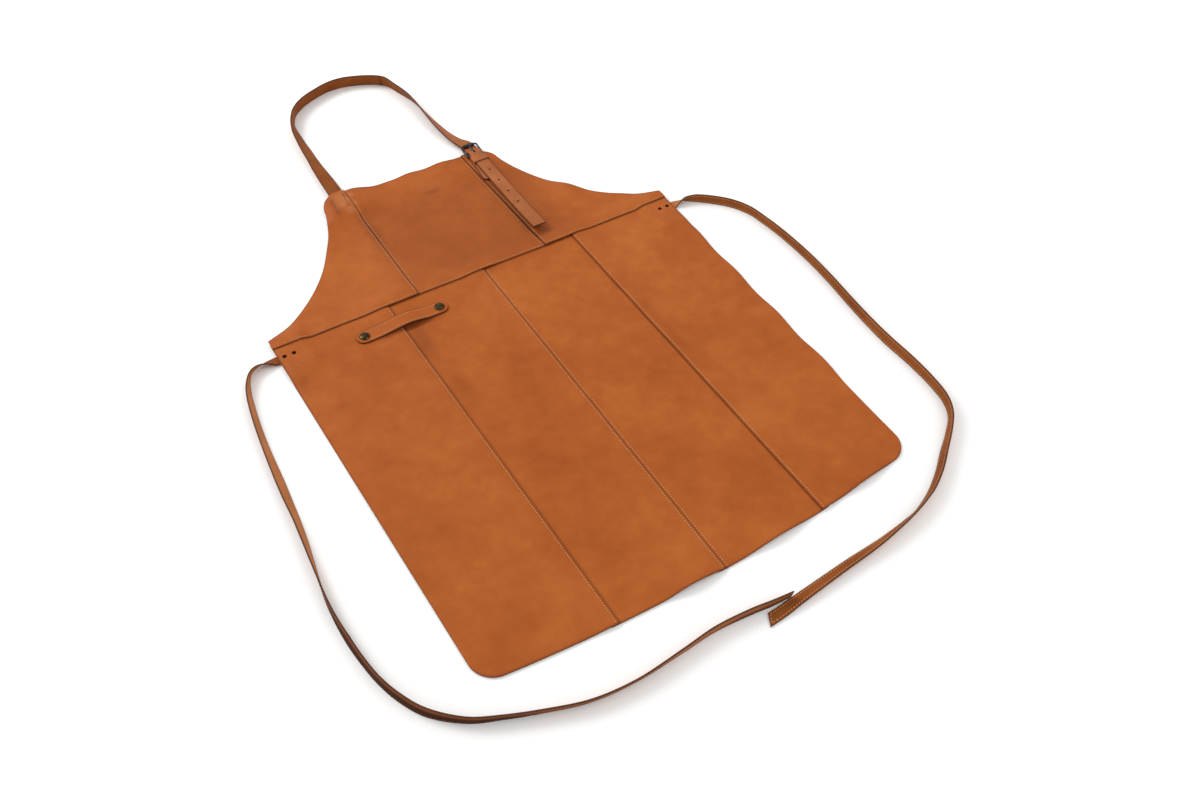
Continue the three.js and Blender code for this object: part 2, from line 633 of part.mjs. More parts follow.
function buckleRoller() {
  const inner = WIRE_RADIUS + GAP;
  const half = ROLLER_LENGTH / 2;
  const ease = 0.4;
  const profile = [
    [inner, -half], [ROLLER_RADIUS - ease, -half], [ROLLER_RADIUS, ease - half],
    [ROLLER_RADIUS, half - ease], [ROLLER_RADIUS - ease, half], [inner, half], [inner, -half],
  ].map(([x, y]) => new THREE.Vector2(x, y));
  return new THREE.LatheGeometry(profile, 14).rotateZ(-Math.PI / 2);
}

function buckleProng() {
  const rest = ROLLER_RADIUS + GAP;
  const ringStart = degToRad(95);
  const ringEnd = degToRad(380);
  const outline = new THREE.Shape()
    .absarc(0, 0, PRONG_RING, ringStart, ringEnd)
    .lineTo(FRAME_LENGTH - 2, rest)
    .lineTo(PRONG_REACH, rest)
    .lineTo(PRONG_REACH + 0.3, rest + 0.8)
    .lineTo(FRAME_LENGTH, rest + PRONG_THICKNESS);
  outline.holes.push(new THREE.Path().absarc(0, 0, WIRE_RADIUS + GAP, 0, 2 * Math.PI));
  const alongYZ = new THREE.Matrix4().makeBasis(
    new THREE.Vector3(0, 1, 0),
    new THREE.Vector3(0, 0, 1),
    new THREE.Vector3(1, 0, 0),
  );
  return new THREE.ExtrudeGeometry(outline, { depth: PRONG_WIDTH, bevelEnabled: false, curveSegments: 12 })
    .translate(0, 0, -PRONG_WIDTH / 2)
    .applyMatrix4(alongYZ);
}

function strapKeeper() {
  const innerHalf = STRAP_WIDTH / 2 + 2 * GAP;
  const outerHalf = innerHalf + KEEPER_LEATHER;
  const low = CHAPE_TOP + GAP;
  const high = STRAP_IN_KEEPER_Z + STRAP_LEATHER / 2 + 2 * GAP + KEEPER_LEATHER;
  const round = 0.8;
  const outline = new THREE.Shape()
    .moveTo(-outerHalf + round, low)
    .lineTo(outerHalf - round, low)
    .quadraticCurveTo(outerHalf, low, outerHalf, low + round)
    .lineTo(outerHalf, high - round)
    .quadraticCurveTo(outerHalf, high, outerHalf - round, high)
    .lineTo(-outerHalf + round, high)
    .quadraticCurveTo(-outerHalf, high, -outerHalf, high - round)
    .lineTo(-outerHalf, low + round)
    .quadraticCurveTo(-outerHalf, low, -outerHalf + round, low);
  const inside = new THREE.Path()
    .moveTo(-innerHalf, low + KEEPER_LEATHER)
    .lineTo(-innerHalf, high - KEEPER_LEATHER)
    .lineTo(innerHalf, high - KEEPER_LEATHER)
    .lineTo(innerHalf, low + KEEPER_LEATHER)
    .lineTo(-innerHalf, low + KEEPER_LEATHER);
  outline.holes.push(inside);
  return new THREE.ExtrudeGeometry(outline, { depth: KEEPER_LENGTH, bevelEnabled: false, curveSegments: 4 })
    .rotateX(Math.PI / 2)
    .translate(STRAP_X, KEEPER_Y + KEEPER_LENGTH, 0);
}

// Towel loop: flat and round at its fastened ends, bowed up between them
function towelLoop() {
  const [leftCap, rightCap] = TOWEL_CAPS;
  const half = TOWEL_WIDTH / 2;
  const from = leftCap - half;
  const to = rightCap + half;
  const ends = [...TOWEL_END_STOPS.map((d) => from + d), ...TOWEL_END_STOPS.map((d) => to - d)];
  const between = stopsBetween(leftCap, rightCap, (rightCap - leftCap) / TOWEL_COLUMNS, []).slice(1, -1);
  const stops = [...ends, ...between].sort((a, b) => a - b);
  const rows = 3;
  return sheet(stops.length - 1, rows, (column, row, top) => {
    const x = stops[column];
    const intoEnd = clamp(Math.max(leftCap - x, x - rightCap), 0, half);
    const halfWidth = Math.max(TOWEL_TIP, Math.sqrt(half ** 2 - intoEnd ** 2));
    const free = clamp((x - leftCap - half) / (rightCap - leftCap - TOWEL_WIDTH), 0, 1);
    const bow = TOWEL_BOW * smoothstep(Math.min(free, 1 - free), 0, TOWEL_BOW_RAMP);
    const y = TOWEL_Y + halfWidth * lerp(-1, 1, row / rows);
    const z = LEATHER + GAP + bow + (top ? TOWEL_LEATHER : 0);
    return { x, y, z };
  });
}

function snapCap(x) {
  const rim = 0.7;
  const dome = [
    [0, 0], [CAP_RADIUS, 0], [CAP_RADIUS, rim], [0.93 * CAP_RADIUS, 1.6 * rim],
    [0.8 * CAP_RADIUS, 0.68 * CAP_HEIGHT], [0.55 * CAP_RADIUS, 0.88 * CAP_HEIGHT],
    [0.28 * CAP_RADIUS, 0.97 * CAP_HEIGHT], [0, CAP_HEIGHT],
  ].map(([radius, height]) => new THREE.Vector2(radius, height));
  return new THREE.LatheGeometry(dome, CAP_SIDES)
    .rotateX(Math.PI / 2)
    .translate(x, TOWEL_Y, LEATHER + GAP + TOWEL_LEATHER + GAP);
}

// Assembly
const apron = new THREE.Group();

function add(parent, name, geometry, material) {
  const mesh = new THREE.Mesh(geometry, material);
  mesh.name = name;
  parent.add(mesh);
}

const SIDES = [
  { name: 'left', sign: -1, route: LEFT_TIE },
  { name: 'right', sign: 1, route: RIGHT_TIE },
];

for (let i = 0; i + 1 < SKIRT_LINES.length; i += 1) {
  const panel = skirtPanel(SKIRT_LINES[i], SKIRT_LINES[i + 1]);
  const outer = SIDES.find(({ sign }) => (sign < 0 ? i === 0 : i + 2 === SKIRT_LINES.length));
  add(apron, `skirt_panel_${i + 1}`, outer ? cut(panel, tieHoles(outer.sign)) : panel, leather);
}

add(apron, 'bib_centre', bibCentre(), leather);
for (const { name, sign, route } of SIDES) {
  add(apron, `bib_${name}`, bibSide(sign), leather);
  add(apron, `waist_patch_${name}`, waistPatch(sign), leather);
  add(apron, `waist_tie_${name}`, waistTie(route, sign), strapLeather);
}

add(apron, 'neck_strap', neckStrap(), strapLeather);
add(apron, 'buckle_chape', chape(), strapLeather);
add(apron, 'strap_keeper', strapKeeper(), strapLeather);

const buckle = new THREE.Group();
buckle.position.set(BUCKLE_X, HEEL_Y, HEEL_Z);
buckle.rotation.x = degToRad(FRAME_TILT);
add(buckle, 'buckle_frame', buckleFrame(), gunmetal);
add(buckle, 'buckle_roller', buckleRoller().translate(0, FRAME_LENGTH, 0), gunmetal);
add(buckle, 'buckle_prong', buckleProng(), gunmetal);
apron.add(buckle);

add(apron, 'towel_loop', towelLoop(), leather);
SIDES.forEach(({ name }, i) => add(apron, `snap_cap_${name}`, snapCap(TOWEL_CAPS[i]), antiqueBrass));

export default apron;
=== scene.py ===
"""Leather apron lying face up: its looks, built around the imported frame.

Sizes and places are millimetres in the part's own frame, with +X across the apron, +Y from the hem to
the neck and +Z up from the surface it lies on. A mesh is scaled to metres when it becomes a piece.
"""

import logging
import math
from bisect import bisect_right
from collections.abc import Callable, Sequence
from dataclasses import dataclass
from enum import Enum, IntEnum

import bmesh
import bpy
from mathutils import Matrix, Vector, geometry, noise


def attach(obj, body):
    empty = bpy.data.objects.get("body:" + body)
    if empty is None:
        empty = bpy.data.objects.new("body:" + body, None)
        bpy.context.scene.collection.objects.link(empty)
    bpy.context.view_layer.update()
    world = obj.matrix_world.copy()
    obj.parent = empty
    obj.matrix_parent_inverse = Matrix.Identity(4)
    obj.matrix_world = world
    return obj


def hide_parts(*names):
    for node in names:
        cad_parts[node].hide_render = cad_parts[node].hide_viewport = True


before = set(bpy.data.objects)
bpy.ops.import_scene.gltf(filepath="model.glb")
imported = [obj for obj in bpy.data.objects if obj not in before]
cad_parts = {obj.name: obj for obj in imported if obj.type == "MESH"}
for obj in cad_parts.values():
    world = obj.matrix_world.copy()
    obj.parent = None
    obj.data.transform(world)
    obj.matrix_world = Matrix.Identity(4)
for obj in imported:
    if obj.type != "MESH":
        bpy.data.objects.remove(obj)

LOG = logging.getLogger("apron")
MM = 0.001
BODY = "root"

# Leather, the gaps between its layers and the lapped seams
LEATHER = 1.4
STRAP_LEATHER = 2.0
TIE_LEATHER = 1.6
PATCH_LEATHER = 1.2
CUT_EASE = 0.3
GAP = 0.3
WAIST_GAP = 0.5
LAP = 9.0
RAMP = 28.0
CLIMB = LEATHER + 0.4
COVER_MARGIN = 1.0
SKIVE = 0.6
SKIVE_WIDTH = 5.0

# Lines that several pieces share
WAIST_Y = 11.0
WAIST_HALF = 300.0
HEM_HALF = 281.5
BIB_SEAM = 97.0
STRAP_WIDTH = 21.0
TIE_Y = -7.5
TIE_HOLES = (278.5, 291.0)
TIE_HOLE_RADIUS = 3.0
UP = Vector((0, 0, 1))

# How the meshes are made
EASE_STEPS = 2
PUNCH_SIDES = 24
PUNCH_LENGTH = 60.0
MERGE_DISTANCE = 0.01
SHARP_ANGLE = math.radians(50)

# What the patterns of several finishes share
NOISE_RANGE = (0.3, 0.7)
BUMP_STRENGTH = 0.5

Mesh = bmesh.types.BMesh
Piece = bpy.types.Object
Material = bpy.types.Material


class Slot(Enum):
    """Material slots of the record."""

    PANEL = "panel_leather"
    STRAP = "strap_leather"
    BUCKLE = "buckle_metal"
    SNAP = "snap_metal"


class Face(IntEnum):
    """Material numbers of a leather piece: upper face, cut edge and under face."""

    UPPER = 0
    EDGE = 1
    UNDER = 2


class Upper(Enum):
    """The panel that lies on top at a seam of the skirt."""

    NONE = "none"
    LEFT = "left"
    RIGHT = "right"


def lerp(start: float, end: float, share: float) -> float:
    """Number at a share of the way between two others."""
    return start + (end - start) * share


def spread(start: float, end: float, steps: int) -> list[float]:
    """Numbers spread evenly from one to another, both included."""
    return [lerp(start, end, i / steps) for i in range(steps + 1)]


def clamp(value: float) -> float:
    """Number held between 0 and 1."""
    return min(1.0, max(0.0, value))


def smooth(share: float) -> float:
    """Soft step from 0 to 1."""
    held = clamp(share)
    return held * held * (3 - 2 * held)


def crowd(share: float, amount: float) -> float:
    """Moves evenly spread shares towards 0 and 1, the more so the nearer amount is to 1."""
    return share - amount * math.sin(2 * math.pi * share) / (2 * math.pi)


def skive(distance: float) -> float:
    """Thickness pared off the upper face at a distance from a lapped edge."""
    return SKIVE * (1 - smooth(distance / SKIVE_WIDTH))


def dip(distance: float, depth: float, width: float) -> float:
    """Depth of a soft groove at a distance from its line."""
    return depth * math.exp(-((distance / width) ** 2))


# Finishes


def linear(colour: str) -> tuple[float, float, float, float]:
    """Turns an sRGB hex colour to linear light.

    Args:
        colour: The colour as #RRGGBB.

    Returns:
        Red, green, blue and an alpha of 1.
    """
    shares = [int(colour[i : i + 2], 16) / 255 for i in (1, 3, 5)]
    red, green, blue = [s / 12.92 if s <= 0.04045 else ((s + 0.055) / 1.055) ** 2.4 for s in shares]
    return red, green, blue, 1.0


def per_metre(size: float) -> float:
    """Texture scale that gives a pattern of a size in millimetres."""
    return 1 / (size * MM)


def add_node(
    tree: bpy.types.NodeTree,
    kind: str,
    inputs: dict[str | int, object],
    colours: Sequence[tuple[float, str]] = (),
    **settings: object,
) -> bpy.types.Node:
    """Adds a node with its settings, socket values and links.

    Args:
        tree: The material's node tree.
        kind: Blender's name for the kind of node.
        inputs: Value for each socket, or the other node's socket that feeds it.
        colours: Position and hex colour of each stop, if the node is a colour ramp.
        settings: The node's own properties.

    Returns:
        The new node.
    """
    node = tree.nodes.new(kind)
    for name, value in settings.items():
        setattr(node, name, value)
    for name, value in inputs.items():
        if isinstance(value, bpy.types.NodeSocket):
            tree.links.new(value, node.inputs[name])
        else:
            node.inputs[name].default_value = value
    if colours:
        stops = node.color_ramp.elements
        while len(stops) < len(colours):
            stops.new(1.0)
        for stop, (position, colour) in zip(stops, colours, strict=True):
            stop.position = position
            stop.color = linear(colour)
    return node


@dataclass(frozen=True)
class Finish:
    """A finish, to which each kind adds its own nodes."""

    name: str

    def start(self) -> tuple[Material, bpy.types.NodeTree, bpy.types.NodeSocket]:
        """Makes the bare material.

        Returns:
            The material, its node tree and the socket that gives places on the piece.
        """
        material = bpy.data.materials.new(self.name)
        material.use_nodes = True
        tree = material.node_tree
        return material, tree, add_node(tree, "ShaderNodeTexCoord", {}).outputs["Object"]


@dataclass(frozen=True)
class Leather(Finish):
    """Full-grain cowhide, drum dyed and waxed: cloudy tan, satin where it is rubbed, fine pores."""

    deep: str
    tan: str
    pale: str
    # Dark colour mixed in by the shade attribute, for smudges and for painted shade
    smudge_and_shade: str
    bloom: str = "#BE8258"
    roughness: tuple[float, float] = (0.5, 0.62)
    cloud: float = 150.0
    mottle: float = 22.0
    crease: float = 5.0
    # Real pores are about 0.3 mm apart; these are coarser, so that they show in the render.
    pore: float = 1.5
    relief: float = 0.16
    tones: tuple[float, float, float] = (0.34, 0.5, 0.66)
    mottle_share: float = 0.35
    crease_share: float = 0.55
    specular: float = 0.16
    ior: float = 1.45

    def material(self) -> Material:
        """Makes the material.

        Returns:
            The leather, with clouds, mottling, pores, and smudges, painted shade and dust from its shade
            attribute.
        """
        material, tree, place = self.start()
        shader = tree.nodes["Principled BSDF"]
        cloud = add_node(
            tree,
            "ShaderNodeTexNoise",
            {"Vector": place, "Scale": per_metre(self.cloud), "Detail": 4.0, "Roughness": 0.6},
        ).outputs["Fac"]
        mottle = add_node(
            tree,
            "ShaderNodeTexNoise",
            {"Vector": place, "Scale": per_metre(self.mottle), "Detail": 5.0, "Roughness": 0.65},
        ).outputs["Fac"]
        tone = add_node(
            tree,
            "ShaderNodeMix",
            {"Factor": self.mottle_share, "A": cloud, "B": mottle},
            data_type="FLOAT",
        ).outputs[0]
        colours = list(zip(self.tones, (self.deep, self.tan, self.pale), strict=True))
        colour = add_node(tree, "ShaderNodeValToRGB", {"Fac": tone}, colours).outputs["Color"]
        shade = add_node(tree, "ShaderNodeAttribute", {}, attribute_name="shade").outputs["Fac"]
        dust = add_node(tree, "ShaderNodeMath", {0: shade, 1: -1.0}, operation="MULTIPLY").outputs[0]
        dusty = add_node(
            tree,
            "ShaderNodeMix",
            {0: dust, 6: colour, 7: linear(self.bloom)},
            data_type="RGBA",
        ).outputs[2]
        # Mixes in the dark colour where the shade attribute is above 0: smudges and painted shade
        wear_and_painted_light = add_node(
            tree,
            "ShaderNodeMix",
            {0: shade, 6: dusty, 7: linear(self.smudge_and_shade)},
            data_type="RGBA",
        ).outputs[2]
        gloss = add_node(
            tree,
            "ShaderNodeMapRange",
            {
                "Value": mottle,
                "From Min": NOISE_RANGE[0],
                "From Max": NOISE_RANGE[1],
                "To Min": self.roughness[0],
                "To Max": self.roughness[1],
            },
        ).outputs["Result"]
        pores = add_node(
            tree,
            "ShaderNodeTexVoronoi",
            {"Vector": place, "Scale": per_metre(self.pore)},
            feature="SMOOTH_F1",
        ).outputs["Distance"]
        creases = add_node(
            tree,
            "ShaderNodeTexNoise",
            {"Vector": place, "Scale": per_metre(self.crease), "Detail": 3.0, "Distortion": 0.8},
        ).outputs["Fac"]
        grain = add_node(
            tree,
            "ShaderNodeMix",
            {"Factor": self.crease_share, "A": pores, "B": creases},
            data_type="FLOAT",
        ).outputs[0]
        bump = add_node(
            tree,
            "ShaderNodeBump",
            {"Height": grain, "Strength": BUMP_STRENGTH, "Distance": self.relief * MM},
        ).outputs["Normal"]
        tree.links.new(wear_and_painted_light, shader.inputs["Base Color"])
        tree.links.new(gloss, shader.inputs["Roughness"])
        tree.links.new(bump, shader.inputs["Normal"])
        shader.inputs["IOR"].default_value = self.ior
        shader.inputs["Specular IOR Level"].default_value = self.specular
        return material


@dataclass(frozen=True)
class Speckled(Finish):
    """A plain stuff with a soft speckle: cut edges, suede backs, thread, paper."""

    dark: str
    light: str
    speckle: float
    roughness: float
    relief: float = 0.1
    specular: float = 0.3

    def material(self) -> Material:
        """Makes the material.

        Returns:
            The stuff, with a speckle between its two colours that also roughens the surface.
        """
        material, tree, place = self.start()
        shader = tree.nodes["Principled BSDF"]
        speckle = add_node(
            tree,
            "ShaderNodeTexNoise",
            {"Vector": place, "Scale": per_metre(self.speckle), "Detail": 3.0},
        ).outputs["Fac"]
        colours = list(zip(NOISE_RANGE, (self.dark, self.light), strict=True))
        colour = add_node(tree, "ShaderNodeValToRGB", {"Fac": speckle}, colours).outputs["Color"]
        bump = add_node(
            tree,
            "ShaderNodeBump",
            {"Height": speckle, "Strength": BUMP_STRENGTH, "Distance": self.relief * MM},
        ).outputs["Normal"]
        tree.links.new(colour, shader.inputs["Base Color"])
        tree.links.new(bump, shader.inputs["Normal"])
        shader.inputs["Roughness"].default_value = self.roughness
        shader.inputs["Specular IOR Level"].default_value = self.specular
        return material


@dataclass(frozen=True)
class Plated(Finish):
    """Plated metal: mirror-like with patches that handling has dulled."""

    bright: str
    dull: str
    roughness: tuple[float, float]
    patch: float = 3.0
    tones: tuple[float, float] = (0.35, 0.65)

    def material(self) -> Material:
        """Makes the material.

        Returns:
            The metal, with colour and gloss that vary together in soft patches.
        """
        material, tree, place = self.start()
        shader = tree.nodes["Principled BSDF"]
        patch = add_node(
            tree,
            "ShaderNodeTexNoise",
            {"Vector": place, "Scale": per_metre(self.patch), "Detail": 4.0},
        ).outputs["Fac"]
        colours = list(zip(self.tones, (self.bright, self.dull), strict=True))
        colour = add_node(tree, "ShaderNodeValToRGB", {"Fac": patch}, colours).outputs["Color"]
        gloss = add_node(
            tree,
            "ShaderNodeMapRange",
            {
                "Value": patch,
                "From Min": NOISE_RANGE[0],
                "From Max": NOISE_RANGE[1],
                "To Min": self.roughness[0],
                "To Max": self.roughness[1],
            },
        ).outputs["Result"]
        tree.links.new(colour, shader.inputs["Base Color"])
        tree.links.new(gloss, shader.inputs["Roughness"])
        shader.inputs["Metallic"].default_value = 1.0
        return material


class Finishes:
    """Every finish of the apron, each made once."""

    # Dark colour of the straps' shade attribute, for dark edges, smudges and painted shade
    strap_smudge_and_shade = "#3C1C0C"
    strap_cloud = 60.0
    strap_specular = 0.06

    def __init__(self) -> None:
        """Makes the materials."""
        # Wax and dye settle unevenly in a hide, which shows as soft clouds of darker and paler tan
        hide = Leather("waxed_tan_cowhide", "#984A18", "#A4541E", "#AF5F27", "#5E2A10").material()
        # Strap leather is browner; the side that is handled or was never waxed is paler and drier,
        # partly as painted light: a lit copy of the strap leather for where the strap lies face up
        grain = self.strap_leather("waxed_strap_cowhide", "#763E1A", "#844820", "#925329")
        wear_and_painted_light = self.strap_leather("handled_and_lit_strap_cowhide", "#8F5230", "#9D5C37", "#AB6840")
        flesh_side = self.strap_leather("strap_flesh_side", "#A46137", "#AF6B3F", "#BA774A")
        # Dye soaks into bare fibres at a cut edge, which turns dark; a suede back is pale and fuzzy
        edge = Speckled("dyed_cut_edge", "#3A1C0C", "#522A13", 0.9, 0.7).material()
        suede = Speckled("suede_flesh_side", "#8E5A38", "#A8734C", 1.4, 0.9, 0.25).material()
        self.panel = (hide, edge, suede)
        self.strap = (grain, edge, wear_and_painted_light)
        self.keeper = (wear_and_painted_light, edge, grain)
        # The left tie is sewn on grain side up and the right one grain side down
        self.left_tie = (grain, edge, flesh_side)
        self.right_tie = (flesh_side, edge, grain)
        # Twisted cord shows as light and dark flecks along the stitch
        self.thread = Speckled("waxed_linen_thread", "#A8703F", "#D2A273", 0.8, 0.65).material()
        self.tan_thread = Speckled("tan_waxed_thread", "#96602F", "#B88252", 0.8, 0.65).material()
        # The left tie's upper face is sewn in brown thread: painted shade on its stitches, to go with
        # the painted shade on that face
        painted_shade_thread = Speckled("brown_thread_in_painted_shade", "#5E361C", "#7C4C2A", 0.8, 0.65).material()
        self.left_tie_threads = (painted_shade_thread, self.tan_thread)
        self.right_tie_threads = (self.thread, self.thread)
        # Plate reflects the bright room where it is smooth and dims where fingers have dulled it
        self.gunmetal = Plated("gunmetal_plate", "#3C3E40", "#2A2C2E", (0.18, 0.32)).material()
        self.brass = Plated("antique_brass_plate", "#5A4C30", "#2C2518", (0.16, 0.3), 2.5).material()
        # Matt paper gives an even white with no gloss
        self.paper = Speckled("matt_white_paper", "#F6F6F5", "#FAFAF9", 2.0, 0.9, 0.01).material()

    def strap_leather(self, name: str, deep: str, tan: str, pale: str) -> Material:
        """Makes the matt leather of a strap.

        Args:
            name: The leather's name.
            deep: Its darkest tone.
            tan: Its middle tone.
            pale: Its palest tone.

        Returns:
            The leather.
        """
        return Leather(
            name,
            deep,
            tan,
            pale,
            self.strap_smudge_and_shade,
            cloud=self.strap_cloud,
            specular=self.strap_specular,
        ).material()


# Making pieces


def only(parts: Sequence[object], kind: type) -> list:
    """Parts of one kind, such as the vertices of what an operator made."""
    return [part for part in parts if isinstance(part, kind)]


def face_outwards(mesh: Mesh) -> None:
    """Turns all faces of a mesh outwards."""
    bmesh.ops.recalc_face_normals(mesh, faces=mesh.faces[:])


def weld(mesh: Mesh) -> None:
    """Merges doubled vertices and turns the faces outwards."""
    bmesh.ops.remove_doubles(mesh, verts=mesh.verts[:], dist=MERGE_DISTANCE)
    face_outwards(mesh)


def ease_edges(
    mesh: Mesh,
    edges: Sequence[bmesh.types.BMEdge],
    ease: float = CUT_EASE,
    steps: int = EASE_STEPS,
    clamp_overlap: bool = False,
) -> None:
    """Rounds edges off.

    Args:
        mesh: The mesh.
        edges: The edges to round.
        ease: Width of the rounding.
        steps: Faces across the rounding.
        clamp_overlap: Whether the rounding narrows where it would run past its neighbours.
    """
    bmesh.ops.bevel(
        mesh,
        geom=edges,
        offset=ease,
        segments=steps,
        profile=0.5,
        affect="EDGES",
        material=-1,
        clamp_overlap=clamp_overlap,
    )


def draw_out(mesh: Mesh, ring: Sequence[bmesh.types.BMEdge], run: Vector) -> tuple[list, list]:
    """Draws a ring of edges out into a tube.

    Args:
        mesh: The mesh.
        ring: The edges of its open end.
        run: How far the end moves.

    Returns:
        The vertices and the edges of the new end.
    """
    longer = bmesh.ops.extrude_edge_only(mesh, edges=ring)["geom"]
    verts = only(longer, bmesh.types.BMVert)
    bmesh.ops.translate(mesh, verts=verts, vec=run)
    ends = set(verts)
    return verts, [edge for edge in only(longer, bmesh.types.BMEdge) if ends.issuperset(edge.verts)]


def closed_sheet(
    columns: int,
    rows: int,
    place: Callable[[int, int, bool], Vector],
    shade: Callable[[int, int], float] = lambda column, row: 0.0,
) -> Mesh:
    """Lays a grid of leather with a lower and an upper face and eased cut edges.

    Args:
        columns: Cells across.
        rows: Cells along.
        place: Gives the point of a column and row, on the upper or the lower face.
        shade: Gives how dark a column and row is, from smudges and painted shade, up to 1, or how dusty
            it is, down to -1.

    Returns:
        The closed sheet, with its faces numbered by Face.
    """
    mesh = bmesh.new()
    layer = mesh.verts.layers.float.new("shade")
    bmesh.ops.create_grid(mesh, x_segments=columns, y_segments=rows, size=0.5)
    raised = bmesh.ops.extrude_face_region(mesh, geom=mesh.faces[:])
    bmesh.ops.translate(mesh, verts=only(raised["geom"], bmesh.types.BMVert), vec=UP)
    faces_by_height = (Face.UNDER, Face.EDGE, Face.UPPER)
    for face in mesh.faces:
        face.material_index = faces_by_height[round(2 * face.calc_center_median().z)]
    for vert in mesh.verts:
        column = round((vert.co.x + 0.5) * columns)
        row = round((vert.co.y + 0.5) * rows)
        vert[layer] = shade(column, row)
        vert.co = place(column, row, vert.co.z > 0.5)
    face_outwards(mesh)
    rim = [edge for edge in mesh.edges if len({face.material_index for face in edge.link_faces}) == 2]
    ease_edges(mesh, rim, clamp_overlap=True)
    return mesh


def to_object(mesh: Mesh, name: str) -> Piece:
    """Turns a mesh in millimetres into an object in metres.

    Args:
        mesh: The mesh, which is used up.
        name: The object's name.

    Returns:
        The object, linked to the scene at the origin.
    """
    bmesh.ops.scale(mesh, vec=(MM, MM, MM), verts=mesh.verts[:])
    data = bpy.data.meshes.new(name)
    mesh.to_mesh(data)
    mesh.free()
    piece = bpy.data.objects.new(name, data)
    bpy.context.scene.collection.objects.link(piece)
    return piece


def cut_out(piece: Piece, cutter: Mesh) -> None:
    """Cuts a mesh out of a piece, whose new walls become cut edges.

    Args:
        piece: The piece to cut.
        cutter: Closed shapes to take away, used up.
    """
    for face in cutter.faces:
        face.material_index = Face.EDGE
    tool = to_object(cutter, f"{piece.name}_cutter")
    # Without a slot for each number the cut would set every number to 0
    for data in (piece.data, tool.data):
        for _ in Face:
            data.materials.append(None)
    cut = piece.modifiers.new("cut", "BOOLEAN")
    cut.operation = "DIFFERENCE"
    cut.solver = "EXACT"
    cut.object = tool
    evaluated = piece.evaluated_get(bpy.context.evaluated_depsgraph_get())
    whole = piece.data
    piece.data = bpy.data.meshes.new_from_object(evaluated)
    piece.modifiers.clear()
    bpy.data.meshes.remove(whole)
    bpy.data.objects.remove(tool)


def add_punch(mesh: Mesh, x: float, y: float, radius: float) -> None:
    """Adds an upright round punch to a cutter.

    Args:
        mesh: The cutter.
        x: Place across.
        y: Place along.
        radius: The hole's radius.
    """
    bmesh.ops.create_cone(
        mesh,
        cap_ends=True,
        segments=PUNCH_SIDES,
        radius1=radius,
        radius2=radius,
        depth=PUNCH_LENGTH,
        matrix=Matrix.Translation((x, y, 0)),
    )


def add_block(mesh: Mesh, middle: Sequence[float], size: Sequence[float]) -> None:
    """Adds a box of a size about a middle."""
    place = Matrix.Translation(middle) @ Matrix.Diagonal((*size, 1))
    bmesh.ops.create_cube(mesh, size=1, matrix=place)


def punch_corner(piece: Piece, side: int) -> None:
    """Punches the two holes of a waist corner, on the left for -1 or the right for 1."""
    punches = bmesh.new()
    for x in TIE_HOLES:
        add_punch(punches, side * x, TIE_Y, TIE_HOLE_RADIUS)
    cut_out(piece, punches)


def dress(piece: Piece, materials: Sequence[Material], slot: Slot, *nodes: str) -> Piece:
    """Gives a piece its finish and its place in the frame.

    Args:
        piece: The piece, whose mesh is final.
        materials: One material for each number that its faces use.
        slot: The record's material slot; not used.
        nodes: CAD nodes that the piece stands for.

    Returns:
        The same piece.
    """
    slots = piece.data.materials
    for number, material in enumerate(materials):
        if number < len(slots):
            slots[number] = material
        else:
            slots.append(material)
    piece.data.shade_smooth()
    piece.data.set_sharp_from_angle(angle=SHARP_ANGLE)
    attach(piece, BODY)
    if nodes:
        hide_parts(*nodes)
    LOG.info("%s: %d faces", piece.name, len(piece.data.polygons))
    return piece


@dataclass(frozen=True)
class Seamwork:
    """Topstitching with waxed thread, one small bead a stitch."""

    pitch: float = 3.6
    share: float = 0.6
    width: float = 1.3
    height: float = 0.9
    proud: float = 0.12
    slant: float = 9.0
    bead_sides: int = 6
    bead_rings: int = 4

    def count(self, length: float) -> int:
        """Number of stitches on a length."""
        return max(1, round(length / self.pitch))

    def spots(self, start: tuple[float, float], end: tuple[float, float]) -> list[tuple[float, float]]:
        """Places across and along of the needle holes on a straight row."""
        steps = self.count(math.dist(start, end))
        return list(zip(spread(start[0], end[0], steps), spread(start[1], end[1], steps)))

    def bead(self) -> bpy.types.Mesh:
        """Makes one stitch, to be placed many times.

        Returns:
            A round bead of unit size, whose own Z runs along the thread.
        """
        mesh = bmesh.new()
        bmesh.ops.create_uvsphere(
            mesh, u_segments=self.bead_sides, v_segments=self.bead_rings, radius=0.5
        )
        data = bpy.data.meshes.new("stitch_bead")
        mesh.to_mesh(data)
        mesh.free()
        return data

    def sew(self, mesh: Mesh, points: Sequence[Vector], normals: Sequence[Vector]) -> None:
        """Adds a stitch between each point of a row and the next.

        Args:
            mesh: The mesh that takes the stitches.
            points: Needle holes on the leather's surface.
            normals: Direction out of the leather at each hole.
        """
        bead = self.bead()
        for start, end, normal in zip(points, points[1:], normals, strict=False):
            along = end - start
            length = along.length * self.share
            along.rotate(Matrix.Rotation(math.radians(self.slant), 3, normal))
            along.normalize()
            side = normal.cross(along).normalized()
            turn = Matrix((side, along.cross(side), along)).transposed().to_4x4()
            size = Matrix.Diagonal((self.width, self.height, length, 1))
            middle = (start + end) / 2 + normal * self.proud
            stitch = bead.copy()
            stitch.transform(Matrix.Translation(middle) @ turn @ size)
            mesh.from_mesh(stitch)
            bpy.data.meshes.remove(stitch)
        bpy.data.meshes.remove(bead)

    def sew_flat(self, mesh: Mesh, points: Sequence[Vector]) -> None:
        """Adds a row of stitches to leather that faces up."""
        self.sew(mesh, points, [UP] * len(points))


def finish_stitches(mesh: Mesh, name: str, thread: Material, slot: Slot) -> Piece:
    """Turns sewn rows into a piece of thread."""
    return dress(to_object(mesh, name), [thread], slot)


# How the leather lies


